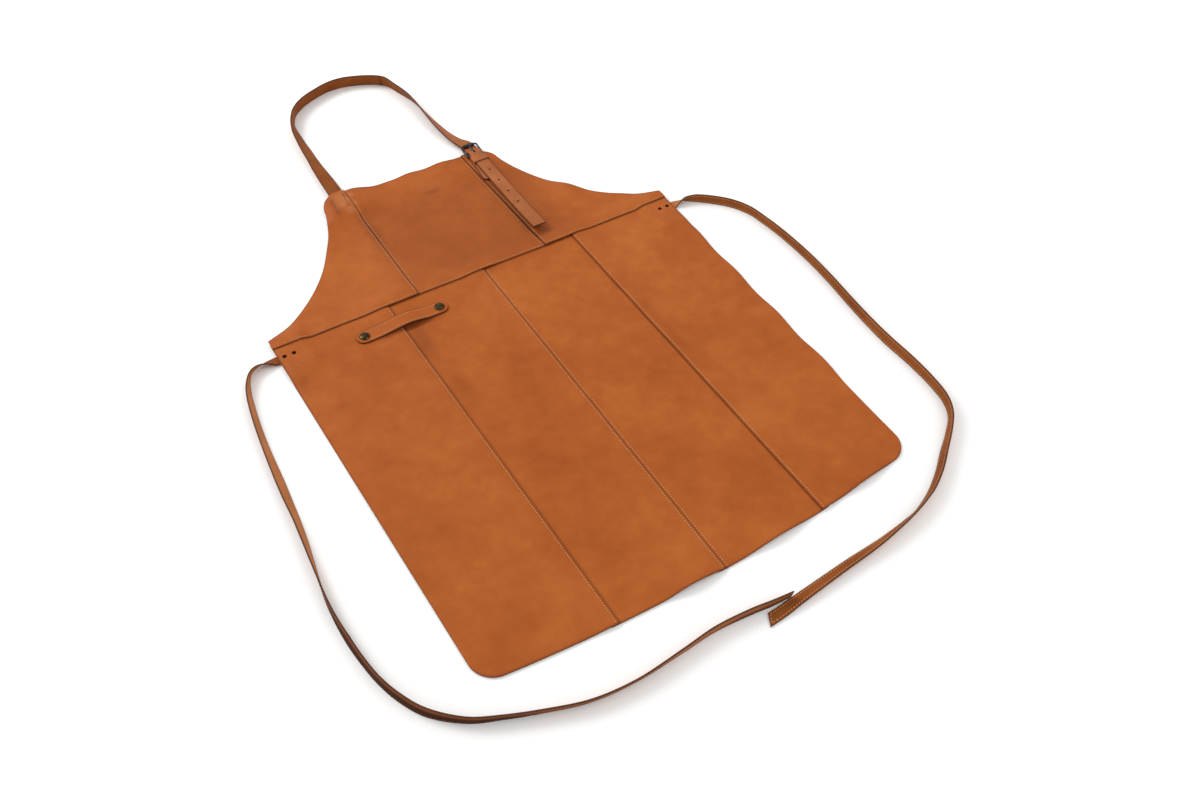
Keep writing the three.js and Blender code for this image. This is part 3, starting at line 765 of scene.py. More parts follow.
@dataclass(frozen=True)
class Rise:
    """A spot, level in its middle and fading to nothing at its rim."""

    x: float
    y: float
    flat_x: float
    flat_y: float
    fade_x: float
    fade_y: float
    height: float

    def at(self, x: float, y: float) -> float:
        """Height of the spot at a point."""
        past_x = (abs(x - self.x) - self.flat_x) / self.fade_x
        past_y = (abs(y - self.y) - self.flat_y) / self.fade_y
        if past_x >= 1 or past_y >= 1:
            return 0.0
        across = 0.5 + 0.5 * math.cos(math.pi * clamp(past_x))
        along = 0.5 + 0.5 * math.cos(math.pi * clamp(past_y))
        return self.height * across * along


WAIST_RISE = PATCH_LEATHER + TIE_LEATHER + 2.4 * GAP
STRAP_RISE = 10.0


@dataclass(frozen=True)
class Lie:
    """How far the leather stands off the surface, the same for every layer at a point."""

    rises: tuple[Rise, ...] = (
        # Over the parts sewn behind it
        Rise(-112, 262, 20, 30, 44, 48, STRAP_RISE),
        Rise(-154, 240, 4, 8, 18, 26, -7),
        Rise(-114.5, 246, 8, 22, 5, 10, 2.0),
        Rise(-284, -8, 20, 32, 18, 26, WAIST_RISE),
        Rise(284, -8, 20, 32, 18, 26, WAIST_RISE),
        # Waves of the bib's edges
        Rise(2, 266, 0, 0, 27, 44, 2.5),
        Rise(54, 266, 0, 0, 27, 44, 2),
        Rise(194, 112, 0, 0, 32, 44, 5),
        Rise(256, 52, 0, 0, 30, 26, 1.5),
        Rise(-168, 160, 0, 0, 30, 50, 3),
        # Waves of the right side
        Rise(296, -78, 0, 0, 48, 44, 4),
        Rise(292, -172, 0, 0, 52, 46, 3.5),
        Rise(289, -268, 0, 0, 52, 48, 3.5),
        Rise(286, -366, 0, 0, 56, 50, 4),
        # Waves of the hem
        Rise(-38, -548, 0, 0, 44, 72, 7),
        Rise(78, -546, 0, 0, 56, 60, 5),
        Rise(206, -536, 0, 0, 50, 56, 4),
        # Puckers beside the sewn end of the strap
        Rise(-101, 261, 0, 0, 6, 6, 1.7),
        Rise(-96, 250, 0, 0, 7, 6, 2.0),
        Rise(-102, 239, 0, 0, 6, 6, 1.8),
        Rise(-97, 229, 0, 0, 6, 7, 1.8),
        Rise(-104, 219, 0, 0, 7, 6, 1.6),
        Rise(-98, 210, 0, 0, 6, 6, 1.1),
    )
    # Where something lies on the leather, it doesn't ripple
    calm: tuple[Rise, ...] = (
        Rise(108, 160, 16, 125, 30, 40, 1),
        Rise(-112, 240, 26, 36, 30, 30, 1),
        Rise(-138, -26, 66, 14, 20, 20, 1),
    )
    ripple: float = 1.2
    ripple_width: float = 62.0

    def at(self, x: float, y: float) -> float:
        """Gives the leather's height off the surface.

        Args:
            x: Place across.
            y: Place along.

        Returns:
            The height of its underside, without what a lapped seam adds.
        """
        lifted = sum(rise.at(x, y) for rise in self.rises)
        still = max(spot.at(x, y) for spot in self.calm)
        wave = noise.noise(Vector((x / self.ripple_width, y / self.ripple_width, 0.0)))
        return lifted + (1 - still) * self.ripple * clamp(0.5 + 0.6 * wave)


@dataclass(frozen=True)
class Wear:
    """Where hands have smudged the leather, where painted shade darkens it at seams and under and beside
    what lies on it, and where its wax has turned pale.
    """

    smudges_and_shadows: tuple[Rise, ...] = (
        # Painted shadows under the towel loop, under the strap's free end and along its left edge
        Rise(-135, -39.5, 26, 1.5, 22, 5, 0.5),
        Rise(107, 37, 8, 2, 9, 8, 0.4),
        Rise(96, 115, 0.8, 60, 2.4, 20, 0.35),
        # Elsewhere: smudges, and one painted shadow
        Rise(-130, -70, 2, 14, 18, 34, 0.3),
        Rise(-122, -170, 0, 10, 22, 60, 0.18),
        Rise(-287, -65, 0, 4, 14, 20, 0.24),
        Rise(-262, -120, 0, 0, 16, 14, 0.16),
        Rise(13, 207, 2, 0, 20, 9, 0.3),
        Rise(-98, 165, 2, 10, 12, 46, 0.26),
        # Painted shadow in the groove along the left edge of the strap sewn behind the bib
        Rise(-126, 236, 0.5, 12, 3.5, 12, 0.6),
        Rise(-108, 226, 0, 0, 4, 4, 0.35),
        Rise(-101, 222, 0, 0, 5, 5, 0.4),
        Rise(20, 120, 110, 70, 50, 60, 0.22),
        Rise(150, -210, 0, 30, 14, 90, 0.14),
    )
    blooms: tuple[Rise, ...] = (
        Rise(-112, 238, 0, 4, 13, 26, 0.34),
        Rise(-101, 262, 0, 0, 8, 9, 0.4),
        Rise(-96, 250, 0, 0, 8, 8, 0.4),
        Rise(-102, 239, 0, 0, 8, 8, 0.35),
        Rise(-98, 228, 0, 0, 9, 9, 0.45),
        Rise(-105, 217, 2, 0, 12, 10, 0.4),
    )
    edge_width: float = 1.8
    edge_depth: float = 0.6
    # Painted shade along seams and under the bib's lapped edge
    seam_shade_width: float = 1.8
    seam_shade_depth: float = 0.5

    def at(self, x: float, y: float) -> float:
        """Smudge and painted shadow at a point, or dust where it is below 0."""
        dark = sum(smudge_and_shade.at(x, y) for smudge_and_shade in self.smudges_and_shadows)
        return clamp(dark) - clamp(sum(bloom.at(x, y) for bloom in self.blooms))

    def near_edge(self, distance: float) -> float:
        """Darkening at a distance from a cut edge."""
        return dip(distance, self.edge_depth, self.edge_width)

    def painted_seam_shade(self, distance: float) -> float:
        """Painted shade at a distance from a seam that presses on the leather, standing in for the shade
        in its groove.
        """
        return dip(distance, self.seam_shade_depth, self.seam_shade_width)


# Skirt


@dataclass(frozen=True)
class SkirtLine:
    """A long seam or side of the skirt, straight from waist to hem."""

    waist_x: float
    hem_x: float
    upper: Upper

    def x_at(self, share: float) -> float:
        """Place across at a share of the way from hem to waist."""
        return lerp(self.hem_x, self.waist_x, share)


@dataclass
class Skirt:
    """Four lapped panels with topstitched seams and the patches behind the waist corners."""

    finishes: Finishes
    lie: Lie
    wear: Wear
    seamwork: Seamwork
    hem_y: float = -548.0
    hem_bow: float = 19.0
    hem_corner: float = 26.0
    lines: tuple[SkirtLine, ...] = (
        SkirtLine(-WAIST_HALF, -HEM_HALF, Upper.NONE),
        SkirtLine(-141, -129, Upper.LEFT),
        SkirtLine(0, 2, Upper.LEFT),
        SkirtLine(140, 138, Upper.RIGHT),
        SkirtLine(WAIST_HALF, HEM_HALF, Upper.NONE),
    )
    # Stitch rows: seam, distance to the right of it, and the panel they lie on
    stitch_rows: tuple[tuple[int, float, int], ...] = (
        (1, -2.8, 0),
        (2, -3.0, 1),
        (2, 3.0, 2),
        (3, 3.0, 3),
    )
    row_margin: float = 2.0
    flat_sizes: tuple[tuple[float, float, float], ...] = (
        (0.171, 0.568, 0.0862),
        (0.152, 0.568, 0.0819),
        (0.158, 0.568, 0.0884),
        (0.162, 0.568, 0.0841),
    )
    patch_corners: tuple[tuple[float, float], ...] = ((264, 14), (264, -23), (293, -38), (297, 14))
    patch_row: tuple[tuple[float, float], ...] = ((265.2, 13), (265.2, -23), (292, -37), (296.5, 13))
    columns: int = 64
    rows: int = 216
    edge_crowding: float = 0.85
    stitch_dip: float = 0.3
    stitch_dip_width: float = 1.2

    def share_at(self, y: float) -> float:
        """Share of the way from hem to waist."""
        return (y - self.hem_y) / (WAIST_Y - self.hem_y)

    def hem_at(self, x: float) -> float:
        """Height of the hem, which bows and has round corners."""
        into = min(self.hem_corner, max(0.0, abs(x) - (HEM_HALF - self.hem_corner)))
        corner = self.hem_corner - math.sqrt(self.hem_corner**2 - into**2)
        return self.hem_y + self.hem_bow * (x / HEM_HALF) ** 2 + corner

    def climb(self, panel: int, x: float, y: float) -> float:
        """Height that a panel gains where it laps over its neighbours.

        Args:
            panel: The panel's number.
            x: Place across.
            y: Place along.

        Returns:
            The added height.
        """
        left, right = self.lines[panel], self.lines[panel + 1]
        share = self.share_at(y)
        height = 0.0
        if left.upper is Upper.RIGHT:
            height += CLIMB * smooth((LAP + RAMP - (x - left.x_at(share))) / RAMP)
        if right.upper is Upper.LEFT:
            height += CLIMB * smooth((LAP + RAMP - (right.x_at(share) - x)) / RAMP)
        return height

    def top(self, panel: int, x: float, y: float) -> float:
        """Gives a panel's upper face, pared at lapped edges and pulled in by its stitches.

        Args:
            panel: The panel's number.
            x: Place across.
            y: Place along.

        Returns:
            The height of the face.
        """
        share = self.share_at(y)
        pared = 0.0
        for seam, aside, sewn in self.stitch_rows:
            if sewn == panel:
                row_x = self.lines[seam].x_at(share) + aside
                pared += dip(x - row_x, self.stitch_dip, self.stitch_dip_width)
        if self.lines[panel].upper is Upper.RIGHT:
            pared += skive(x - self.lines[panel].x_at(share))
        if self.lines[panel + 1].upper is Upper.LEFT:
            pared += skive(self.lines[panel + 1].x_at(share) - x)
        return self.lie.at(x, y) + self.climb(panel, x, y) + LEATHER - pared

    def corner_on_grid(self, panel: int, column: int, row: int) -> tuple[float, float]:
        """Gives the place of a panel's column and row.

        Args:
            panel: The panel's number.
            column: Column from the left.
            row: Row from the hem.

        Returns:
            Place across and place along.
        """
        left, right = self.lines[panel], self.lines[panel + 1]
        line_y = lerp(self.hem_y, WAIST_Y + LAP, row / self.rows)
        share = self.share_at(line_y)
        left_x = left.x_at(share) - (LAP if left.upper is Upper.LEFT else 0)
        right_x = right.x_at(share) + (LAP if right.upper is Upper.RIGHT else 0)
        x = lerp(left_x, right_x, crowd(column / self.columns, self.edge_crowding))
        return x, lerp(self.hem_at(x), WAIST_Y + LAP, row / self.rows)

    def build_panel(self, panel: int) -> Piece:
        """Builds and dresses one panel.

        Args:
            panel: The panel's number, from the left.

        Returns:
            The panel.
        """

        def place(column: int, row: int, upper: bool) -> Vector:
            """Point of the panel."""
            x, y = self.corner_on_grid(panel, column, row)
            if upper:
                return Vector((x, y, self.top(panel, x, y)))
            return Vector((x, y, self.lie.at(x, y) + self.climb(panel, x, y)))

        def shade(column: int, row: int) -> float:
            """Smudges and painted shadows, dark cut edges, and painted shade along its seams and under
            the bib's edge.
            """
            x, y = self.corner_on_grid(panel, column, row)
            share = self.share_at(y)
            dark = self.wear.at(x, y) + self.wear.near_edge(y - self.hem_at(x))
            for line in (self.lines[panel], self.lines[panel + 1]):
                distance = x - line.x_at(share)
                free = line.upper is Upper.NONE
                dark += self.wear.near_edge(distance) if free else self.wear.painted_seam_shade(distance)
            # Painted shadow under the bib's lapped edge at the waist
            return min(1.0, dark + self.wear.painted_seam_shade(WAIST_Y - y))

        node = f"skirt_panel_{panel + 1}"
        piece = to_object(closed_sheet(self.columns, self.rows, place, shade), f"{node}_leather")
        if self.lines[panel].upper is Upper.NONE:
            punch_corner(piece, -1)
        if self.lines[panel + 1].upper is Upper.NONE:
            punch_corner(piece, 1)
        width, length, area = self.flat_sizes[panel]
        dress(piece, self.finishes.panel, Slot.PANEL, node)
        return piece

    def build_patch(self, name: str, side: int) -> Piece:
        """Builds and dresses the patch behind a waist corner.

        Args:
            name: The side's name.
            side: -1 on the left or 1 on the right.

        Returns:
            The patch.
        """
        mesh = bmesh.new()
        corners = [mesh.verts.new((side * x, y, 0)) for x, y in self.patch_corners]
        face = bmesh.ops.contextual_create(mesh, geom=corners)["faces"][0]
        raised = bmesh.ops.extrude_face_region(mesh, geom=[face])
        top = only(raised["geom"], bmesh.types.BMVert)
        bmesh.ops.translate(mesh, verts=top, vec=(0, 0, PATCH_LEATHER))
        face_outwards(mesh)
        for part in mesh.faces:
            part.material_index = Face.UNDER if abs(part.normal.z) > 0.5 else Face.EDGE
        ease_edges(mesh, mesh.edges[:])
        piece = to_object(mesh, f"waist_patch_{name}_leather")
        punch_corner(piece, side)
        return dress(piece, self.finishes.panel, Slot.PANEL, f"waist_patch_{name}")

    def sew(self) -> Piece:
        """Sews the long seams.

        Returns:
            The thread.
        """
        mesh = bmesh.new()
        for seam, aside, panel in self.stitch_rows:
            line = self.lines[seam]
            low = self.hem_at(line.hem_x) + self.row_margin
            high = WAIST_Y - self.row_margin
            holes = []
            for y in spread(low, high, self.seamwork.count(high - low)):
                x = line.x_at(self.share_at(y)) + aside
                holes.append(Vector((x, y, self.top(panel, x, y))))
            self.seamwork.sew_flat(mesh, holes)
        return finish_stitches(mesh, "skirt_stitches", self.finishes.thread, Slot.PANEL)

    def sew_patch(self, name: str, side: int) -> Piece:
        """Sews round a patch, through the panel above it.

        Args:
            name: The side's name.
            side: -1 on the left or 1 on the right.

        Returns:
            The thread.
        """
        mesh = bmesh.new()
        panel = 0 if side < 0 else len(self.lines) - 2
        for start, end in zip(self.patch_row, self.patch_row[1:]):
            spots = self.seamwork.spots(start, end)
            holes = [Vector((side * x, y, self.top(panel, side * x, y))) for x, y in spots]
            self.seamwork.sew_flat(mesh, holes)
        thread = self.finishes.tan_thread
        return finish_stitches(mesh, f"waist_patch_{name}_stitches", thread, Slot.PANEL)

    def build(self) -> None:
        """Builds the panels, the patches and their stitches."""
        for panel in range(len(self.lines) - 1):
            self.build_panel(panel)
        self.sew()
        for name, side in (("left", -1), ("right", 1)):
            self.build_patch(name, side)
            self.sew_patch(name, side)


# Bib


@dataclass(frozen=True)
class BibOutline:
    """One half of the bib's outline: its half width at the top and the pull of its armhole."""

    half: float
    armhole_pull: tuple[float, float]


@dataclass
class Bib:
    """Three lapped panels above the waist seam, with round top corners and hollow armholes."""

    finishes: Finishes
    lie: Lie
    wear: Wear
    seamwork: Seamwork
    skirt: Skirt
    top_y: float = 265.0
    corner: float = 30.0
    waist_corner_y: float = 27.0
    waist_pull: tuple[float, float] = (205, 68)
    left: BibOutline = BibOutline(142, (156, 172))
    right: BibOutline = BibOutline(138, (148, 170))
    # The seams and what lies between them lean to the left towards the top; the outline doesn't
    lean: float = 5.2
    lean_growth: float = 0.3
    lean_fade: float = 26.0
    # Corners, in the cut leather, of the crossed box that holds the strap's end behind the bib
    strap_box: tuple[tuple[float, float], ...] = (
        (-123.6, 226),
        (-105.6, 226),
        (-101.8, 259),
        (-119.4, 259),
    )
    seam_row: float = 2.6
    seam_row_margin: float = 2.0
    waist_row: float = 3.0
    waist_row_margin: float = 3.0
    centre_size: tuple[float, float] = (0.212, 0.254)
    side_size: tuple[float, float] = (0.203, 0.254)
    areas: tuple[float, float, float] = (0.0248, 0.0538, 0.0241)
    rows: int = 92
    row_crowding: float = 1.5
    centre_columns: int = 76
    centre_crowding: float = 0.75
    straight_columns: int = 9
    straight_crowding: float = 1.6
    corner_columns: int = 12
    armhole_columns: int = 90
    stitch_dip: float = 0.3
    stitch_dip_width: float = 1.2

    def side_stops(self, side: int) -> list[tuple[float, float]]:
        """Follows the outline from the bib's seam to the waist corner.

        Args:
            side: -1 on the left or 1 on the right.

        Returns:
            Distance out from the middle and height of the edge, for each column.
        """
        outline = self.left if side < 0 else self.right
        straight_end = outline.half - self.corner
        stops = []
        for i in range(self.straight_columns):
            share = (i / self.straight_columns) ** self.straight_crowding
            stops.append((lerp(BIB_SEAM, straight_end, share), self.top_y))
        for i in range(self.corner_columns):
            turn = 0.5 * math.pi * i / self.corner_columns
            out = straight_end + self.corner * math.sin(turn)
            stops.append((out, self.top_y - self.corner * (1 - math.cos(turn))))
        armhole = geometry.interpolate_bezier(
            Vector((outline.half, self.top_y - self.corner)),
            Vector(outline.armhole_pull),
            Vector(self.waist_pull),
            Vector((WAIST_HALF, self.waist_corner_y)),
            self.armhole_columns,
        )
        return stops + [(point.x, point.y) for point in armhole]

    def leant(self, x: float, y: float) -> float:
        """Place across, on the laid bib, of a point of the cut leather."""
        up = (y - WAIST_Y) / (self.top_y - WAIST_Y)
        lean = self.lean * (1 + self.lean_growth * x / BIB_SEAM)
        return x - lean * up * (1 - smooth((abs(x) - BIB_SEAM - LAP) / self.lean_fade))

    def cover(self, x: float) -> float:
        """Height that the bib's lower edge gains where it crosses a seam of the skirt.

        Args:
            x: Place across.

        Returns:
            The added height.
        """
        height = 0.0
        for line in self.skirt.lines:
            if line.upper is Upper.NONE:
                continue
            to_left = LAP if line.upper is Upper.LEFT else 0
            low = line.waist_x - to_left - COVER_MARGIN
            high = line.waist_x + LAP - to_left + COVER_MARGIN
            rising = smooth((x - low + RAMP) / RAMP)
            falling = smooth((high + RAMP - x) / RAMP)
            height = max(height, CLIMB * min(rising, falling))
        return height

    def base(self, x: float, y: float, side: int) -> float:
        """Gives a panel's under face.

        Args:
            x: Place across the cut leather.
            y: Place along.
            side: -1 on the left, 0 in the middle or 1 on the right.

        Returns:
            The height of the face.
        """
        down = smooth((WAIST_Y + LAP + COVER_MARGIN + RAMP - y) / RAMP)
        height = self.lie.at(self.leant(x, y), y) + down * (LEATHER + WAIST_GAP + self.cover(x))
        if side:
            height += CLIMB * smooth((BIB_SEAM + LAP + RAMP - abs(x)) / RAMP)
        return height

    def top(self, x: float, y: float, side: int) -> float:
        """Gives a panel's upper face, pared at lapped edges and pulled in by its stitches.

        Args:
            x: Place across.
            y: Place along.
            side: -1 on the left, 0 in the middle or 1 on the right.

        Returns:
            The height of the face.
        """
        seam_row = BIB_SEAM + self.seam_row if side else BIB_SEAM - self.seam_row
        groove = dip(abs(x) - seam_row, self.stitch_dip, self.stitch_dip_width)
        groove += dip(y - WAIST_Y - self.waist_row, self.stitch_dip, self.stitch_dip_width)
        pared = min(groove, self.stitch_dip) + skive(y - WAIST_Y)
        if side:
            pared += skive(abs(x) - BIB_SEAM)
        return self.base(x, y, side) + LEATHER - min(pared, SKIVE + self.stitch_dip)

    def hole(self, x: float, y: float, side: int) -> Vector:
        """Needle hole at a point of the cut leather, on a panel's upper face."""
        return Vector((self.leant(x, y), y, self.top(x, y, side)))

    def build_panel(self, name: str, side: int, stops: Sequence[tuple[float, float]]) -> Piece:
        """Builds and dresses one panel.

        Args:
            name: The panel's name.
            side: -1 on the left, 0 in the middle or 1 on the right.
            stops: Place across and height of the upper edge, for each column.

        Returns:
            The panel.
        """

        def corner_on_grid(column: int, row: int) -> tuple[float, float]:
            """Place of a column and row."""
            x, edge_y = stops[column]
            return x, lerp(WAIST_Y, edge_y, (row / self.rows) ** self.row_crowding)

        def place(column: int, row: int, upper: bool) -> Vector:
            """Point of the panel."""
            x, y = corner_on_grid(column, row)
            if upper:
                return self.hole(x, y, side)
            return Vector((self.leant(x, y), y, self.base(x, y, side)))

        def shade(column: int, row: int) -> float:
            """Smudges and painted shadows, dark cut edges, and painted shade along its seams."""
            x, y = corner_on_grid(column, row)
            dark = self.wear.at(self.leant(x, y), y) + self.wear.near_edge(stops[column][1] - y)
            dark += self.wear.painted_seam_shade(abs(x) - BIB_SEAM) + self.wear.near_edge(y - WAIST_Y)
            return min(1.0, dark)

        mesh = closed_sheet(len(stops) - 1, self.rows, place, shade)
        piece = to_object(mesh, f"bib_{name}_leather")
        dress(piece, self.finishes.panel, Slot.PANEL, f"bib_{name}")
        return piece

    def sew(self) -> Piece:
        """Sews the waist seam and both rows of each bib seam.

        Returns:
            The thread.
        """
        mesh = bmesh.new()
        reach = WAIST_HALF - self.waist_row_margin
        holes = []
        for x in spread(-reach, reach, self.seamwork.count(2 * reach)):
            side = 0 if abs(x) < BIB_SEAM else int(math.copysign(1, x))
            holes.append(self.hole(x, WAIST_Y + self.waist_row, side))
        self.seamwork.sew_flat(mesh, holes)
        low, high = WAIST_Y + 2 * self.waist_row, self.top_y - self.seam_row_margin
        rows = spread(low, high, self.seamwork.count(high - low))
        for sign in (-1, 1):
            for side, out in ((sign, BIB_SEAM + self.seam_row), (0, BIB_SEAM - self.seam_row)):
                self.seamwork.sew_flat(mesh, [self.hole(sign * out, y, side) for y in rows])
        return finish_stitches(mesh, "bib_stitches", self.finishes.thread, Slot.PANEL)

    def sew_strap(self) -> Piece:
        """Sews the crossed box through the left panel and the strap's end behind it.

        Returns:
            The thread.
        """
        mesh = bmesh.new()
        first, second, third, last = self.strap_box
        path = (first, second, third, last, first, third, second, last)
        for start, end in zip(path, path[1:]):
            holes = [self.hole(x, y, -1) for x, y in self.seamwork.spots(start, end)]
            self.seamwork.sew_flat(mesh, holes)
        return finish_stitches(mesh, "neck_strap_stitches", self.finishes.tan_thread, Slot.PANEL)

    def build(self) -> None:
        """Builds the three panels and their stitches."""
        reach = BIB_SEAM + LAP
        centre = []
        for share in spread(0, 1, self.centre_columns):
            centre.append((lerp(-reach, reach, crowd(share, self.centre_crowding)), self.top_y))
        self.build_panel("centre", 0, centre)
        left = [(-out, edge_y) for out, edge_y in reversed(self.side_stops(-1))]
        self.build_panel("left", -1, left)
        self.build_panel("right", 1, self.side_stops(1))
        self.sew()
        self.sew_strap()


# Straps


@dataclass(frozen=True)
class Stop:
    """One row of a strap's route.

    The strap lies flat at a tilt of 0 and stands on its right-hand edge at -90 or its left-hand edge at
    90. Its height is given only where it doesn't rest on the surface.
    """

    x: float
    y: float
    tilt: float
    z: float | None = None


@dataclass(frozen=True)
class StrapFrame:
    """A strap's middle, its direction across and its direction out, at a distance from its start."""

    point: Vector
    across: Vector
    out: Vector
    distance: float


@dataclass(frozen=True)
class ShadeStretch:
    """A stretch of a strap darkened as painted shade, or paled, up to its right-hand edge."""

    start: float
    end: float
    depth: float
    begins: float = -2.0
    fade: float = 60.0

    def at(self, distance: float, across: float) -> float:
        """Darkening at a distance along the strap and a share across it, from -1 to 1."""
        inside = smooth((distance - self.start) / self.fade) * smooth((self.end - distance) / self.fade)
        return self.depth * inside * smooth(2 * (across - self.begins))


class Ribbon:
    """A flat strap along a route, which gives the place of anything on it."""

    skew_run = 15.0
    edge_crowding = 0.55
    groove_depth = 0.16
    groove_width = 0.9
    edge_dark = 0.6
    edge_dark_width = 1.0
    fold_dark = 0.7
    fold_dark_width = 1.5
    needle_sink = 0.12

    def __init__(
        self,
        route: Sequence[Stop],
        width: float,
        thickness: float,
        skew: float = 0.0,
        step: float = 3.0,
    ) -> None:
        """Follows the route.

        Args:
            route: The rows that the strap's middle passes through.
            width: The strap's width.
            thickness: The strap's thickness.
            skew: How far a slanting end reaches past or short of the middle at its two corners.
            step: Longest distance between frames.
        """
        self.width = width
        self.thickness = thickness
        self.skew = skew
        points = [Vector((stop.x, stop.y, self.height_of(stop))) for stop in route]
        line, tilts = [points[0]], [route[0].tilt]
        padded = [2 * points[0] - points[1], *points, 2 * points[-1] - points[-2]]
        for i, (before, start, end, after) in enumerate(zip(padded, padded[1:], padded[2:], padded[3:])):
            count = math.ceil((end - start).length / step)
            handles = self.handles(before, start, end, after)
            line += geometry.interpolate_bezier(start, *handles, end, count + 1)[1:]
            tilts += [lerp(route[i].tilt, route[i + 1].tilt, (j + 1) / count) for j in range(count)]
        self.frames = self.frame_line(line, tilts)
        self.distances = [made.distance for made in self.frames]
        self.length = self.distances[-1]

    def height_of(self, stop: Stop) -> float:
        """Height of a row's middle, worked out from its tilt where the strap rests on the surface."""
        if stop.z is not None:
            return stop.z
        turn = math.radians(stop.tilt)
        return 0.5 * (self.width * abs(math.sin(turn)) + self.thickness * abs(math.cos(turn))) + GAP

    @staticmethod
    def handles(before: Vector, start: Vector, end: Vector, after: Vector) -> tuple[Vector, Vector]:
        """Gives the handles of a smooth span between two points of a route.

        Args:
            before: The point before the span.
            start: The span's start.
            end: The span's end.
            after: The point after the span.

        Returns:
            The handles of the span's Bezier curve, from spacing by the root of each distance.
        """
        near = math.sqrt((start - before).length)
        here = math.sqrt((end - start).length)
        far = math.sqrt((after - end).length)
        leave = (start - before) / near - (end - before) / (near + here) + (end - start) / here
        arrive = (end - start) / here - (after - start) / (here + far) + (after - end) / far
        return start + leave * here / 3, end - arrive * here / 3

    @staticmethod
    def frame_line(line: Sequence[Vector], tilts: Sequence[float]) -> list[StrapFrame]:
        """Turns points and tilts into frames.

        Args:
            line: Points of the strap's middle.
            tilts: Tilt at each point, in degrees.

        Returns:
            A frame for each point.
        """
        frames = []
        distance = 0.0
        for i, point in enumerate(line):
            ahead, behind = line[min(i + 1, len(line) - 1)], line[max(i - 1, 0)]
            along = (ahead - behind).normalized()
            right = along.cross(UP).normalized()
            lift = right.cross(along)
            turn = math.radians(tilts[i])
            across = right * math.cos(turn) + lift * math.sin(turn)
            distance += (point - behind).length
            frames.append(StrapFrame(point, across, across.cross(along), distance))
        return frames

    def frame_at(self, distance: float) -> StrapFrame:
        """Frame at a distance along the strap, between the two nearest."""
        i = min(max(bisect_right(self.distances, distance) - 1, 0), len(self.frames) - 2)
        start, end = self.frames[i], self.frames[i + 1]
        share = clamp((distance - start.distance) / (end.distance - start.distance))
        return StrapFrame(
            start.point.lerp(end.point, share),
            start.across.lerp(end.across, share).normalized(),
            start.out.lerp(end.out, share).normalized(),
            distance,
        )

    def slid(self, here: StrapFrame, aside: float) -> Vector:
        """Gives a place on the strap's middle layer, slid along near an end that is cut at a slant.

        Args:
            here: The frame.
            aside: Place across the strap.

        Returns:
            The place.
        """
        late = smooth(1 - (self.length - here.distance) / self.skew_run)
        along = here.out.cross(here.across)
        return here.point + here.across * aside + along * (self.skew * late * aside / (self.width / 2))

    def build(
        self,
        name: str,
        columns: int,
        groove_in: float,
        creases: Sequence[float] = (),
        shade_stretches: Sequence[ShadeStretch] = (),
    ) -> Piece:
        """Builds the strap.

        Args:
            name: The strap's name.
            columns: Cells across.
            groove_in: Distance of the stitched or creased lines from the edges.
            creases: Distances along the strap at which it was once folded hard.
            shade_stretches: Stretches darkened as painted shade, or paled.

        Returns:
            The strap, not yet dressed.
        """
        half = self.width / 2

        def offset(column: int) -> float:
            """Place of a column across the strap."""
            return lerp(-half, half, crowd(column / columns, self.edge_crowding))

        def place(column: int, row: int, upper: bool) -> Vector:
            """Point of the strap."""
            here = self.frames[row]
            aside = offset(column)
            thinned = dip(half - abs(aside) - groove_in, self.groove_depth, self.groove_width)
            depth = self.thickness / 2 - thinned
            return self.slid(here, aside) + here.out * (depth if upper else -depth)

        def shade(column: int, row: int) -> float:
            """Darkening on the strap: dark edges, hard folds, and stretches of painted shade or paling.
            """
            aside, distance = offset(column), self.distances[row]
            dark = dip(half - abs(aside), self.edge_dark, self.edge_dark_width)
            dark += sum(dip(distance - fold, self.fold_dark, self.fold_dark_width) for fold in creases)
            dark += sum(shade_stretch.at(distance, aside / half) for shade_stretch in shade_stretches)
            return max(-1.0, min(1.0, dark))

        return to_object(closed_sheet(columns, len(self.frames) - 1, place, shade), name)

    def row(
        self,
        start: tuple[float, float],
        end: tuple[float, float],
        face: int,
        count: int,
    ) -> tuple[list[Vector], list[Vector]]:
        """Gives the needle holes of a stitch row.

        Args:
            start: Distance along the strap and place across it at the row's start.
            end: The same at its end.
            face: 1 for the face that points out, or -1 for the other.
            count: Number of stitches.

        Returns:
            The holes and the directions out of the leather at them.
        """
        holes, normals = [], []
        spots = zip(spread(start[0], end[0], count), spread(start[1], end[1], count))
        for distance, aside in spots:
            here = self.frame_at(distance)
            out = here.out * face
            holes.append(self.slid(here, aside) + out * (self.thickness / 2 - self.needle_sink))
            normals.append(out)
        return holes, normals


TIE_SEWN_Z = PATCH_LEATHER + GAP + TIE_LEATHER / 2

LEFT_TIE = (
    Stop(-268, TIE_Y, 0, TIE_SEWN_Z),
    Stop(-284, TIE_Y, 0, TIE_SEWN_Z),
    Stop(-303, TIE_Y, 0, TIE_SEWN_Z),
    Stop(-316, -7, -40),
    Stop(-326, -8, -55),
    Stop(-335, -13, -66),
    Stop(-342, -24, -85),
    Stop(-348.5, -42, -103),
    Stop(-352.5, -62, -112),
    Stop(-356.5, -92, -115),
    Stop(-359.5, -125, -118),
    Stop(-361.5, -158, -123),
    Stop(-363, -191, -130),
    Stop(-364.5, -222, -126),
    Stop(-365.5, -253, -118),
    Stop(-367.5, -283, -112),
    Stop(-370, -311, -103),
    Stop(-372.5, -338, -91),
    Stop(-374.5, -365, -83),
    Stop(-374.5, -392, -78),
    Stop(-372.5, -420, -72),
    Stop(-369, -448, -75),
    Stop(-363, -477, -77),
    Stop(-353, -504, -76),
    Stop(-338, -529.5, -78),
    Stop(-308, -557, -90),
    Stop(-278, -572, -98),
    Stop(-244, -586, -102),
    Stop(-198, -601.5, -105),
    Stop(-150, -607, -107),
    Stop(-92, -604.5, -99),
    Stop(-52, -602, -94),
    Stop(-8, -605.3, -91),
    Stop(16, -608.8, -93),
    Stop(40, -610.9, -100),
)

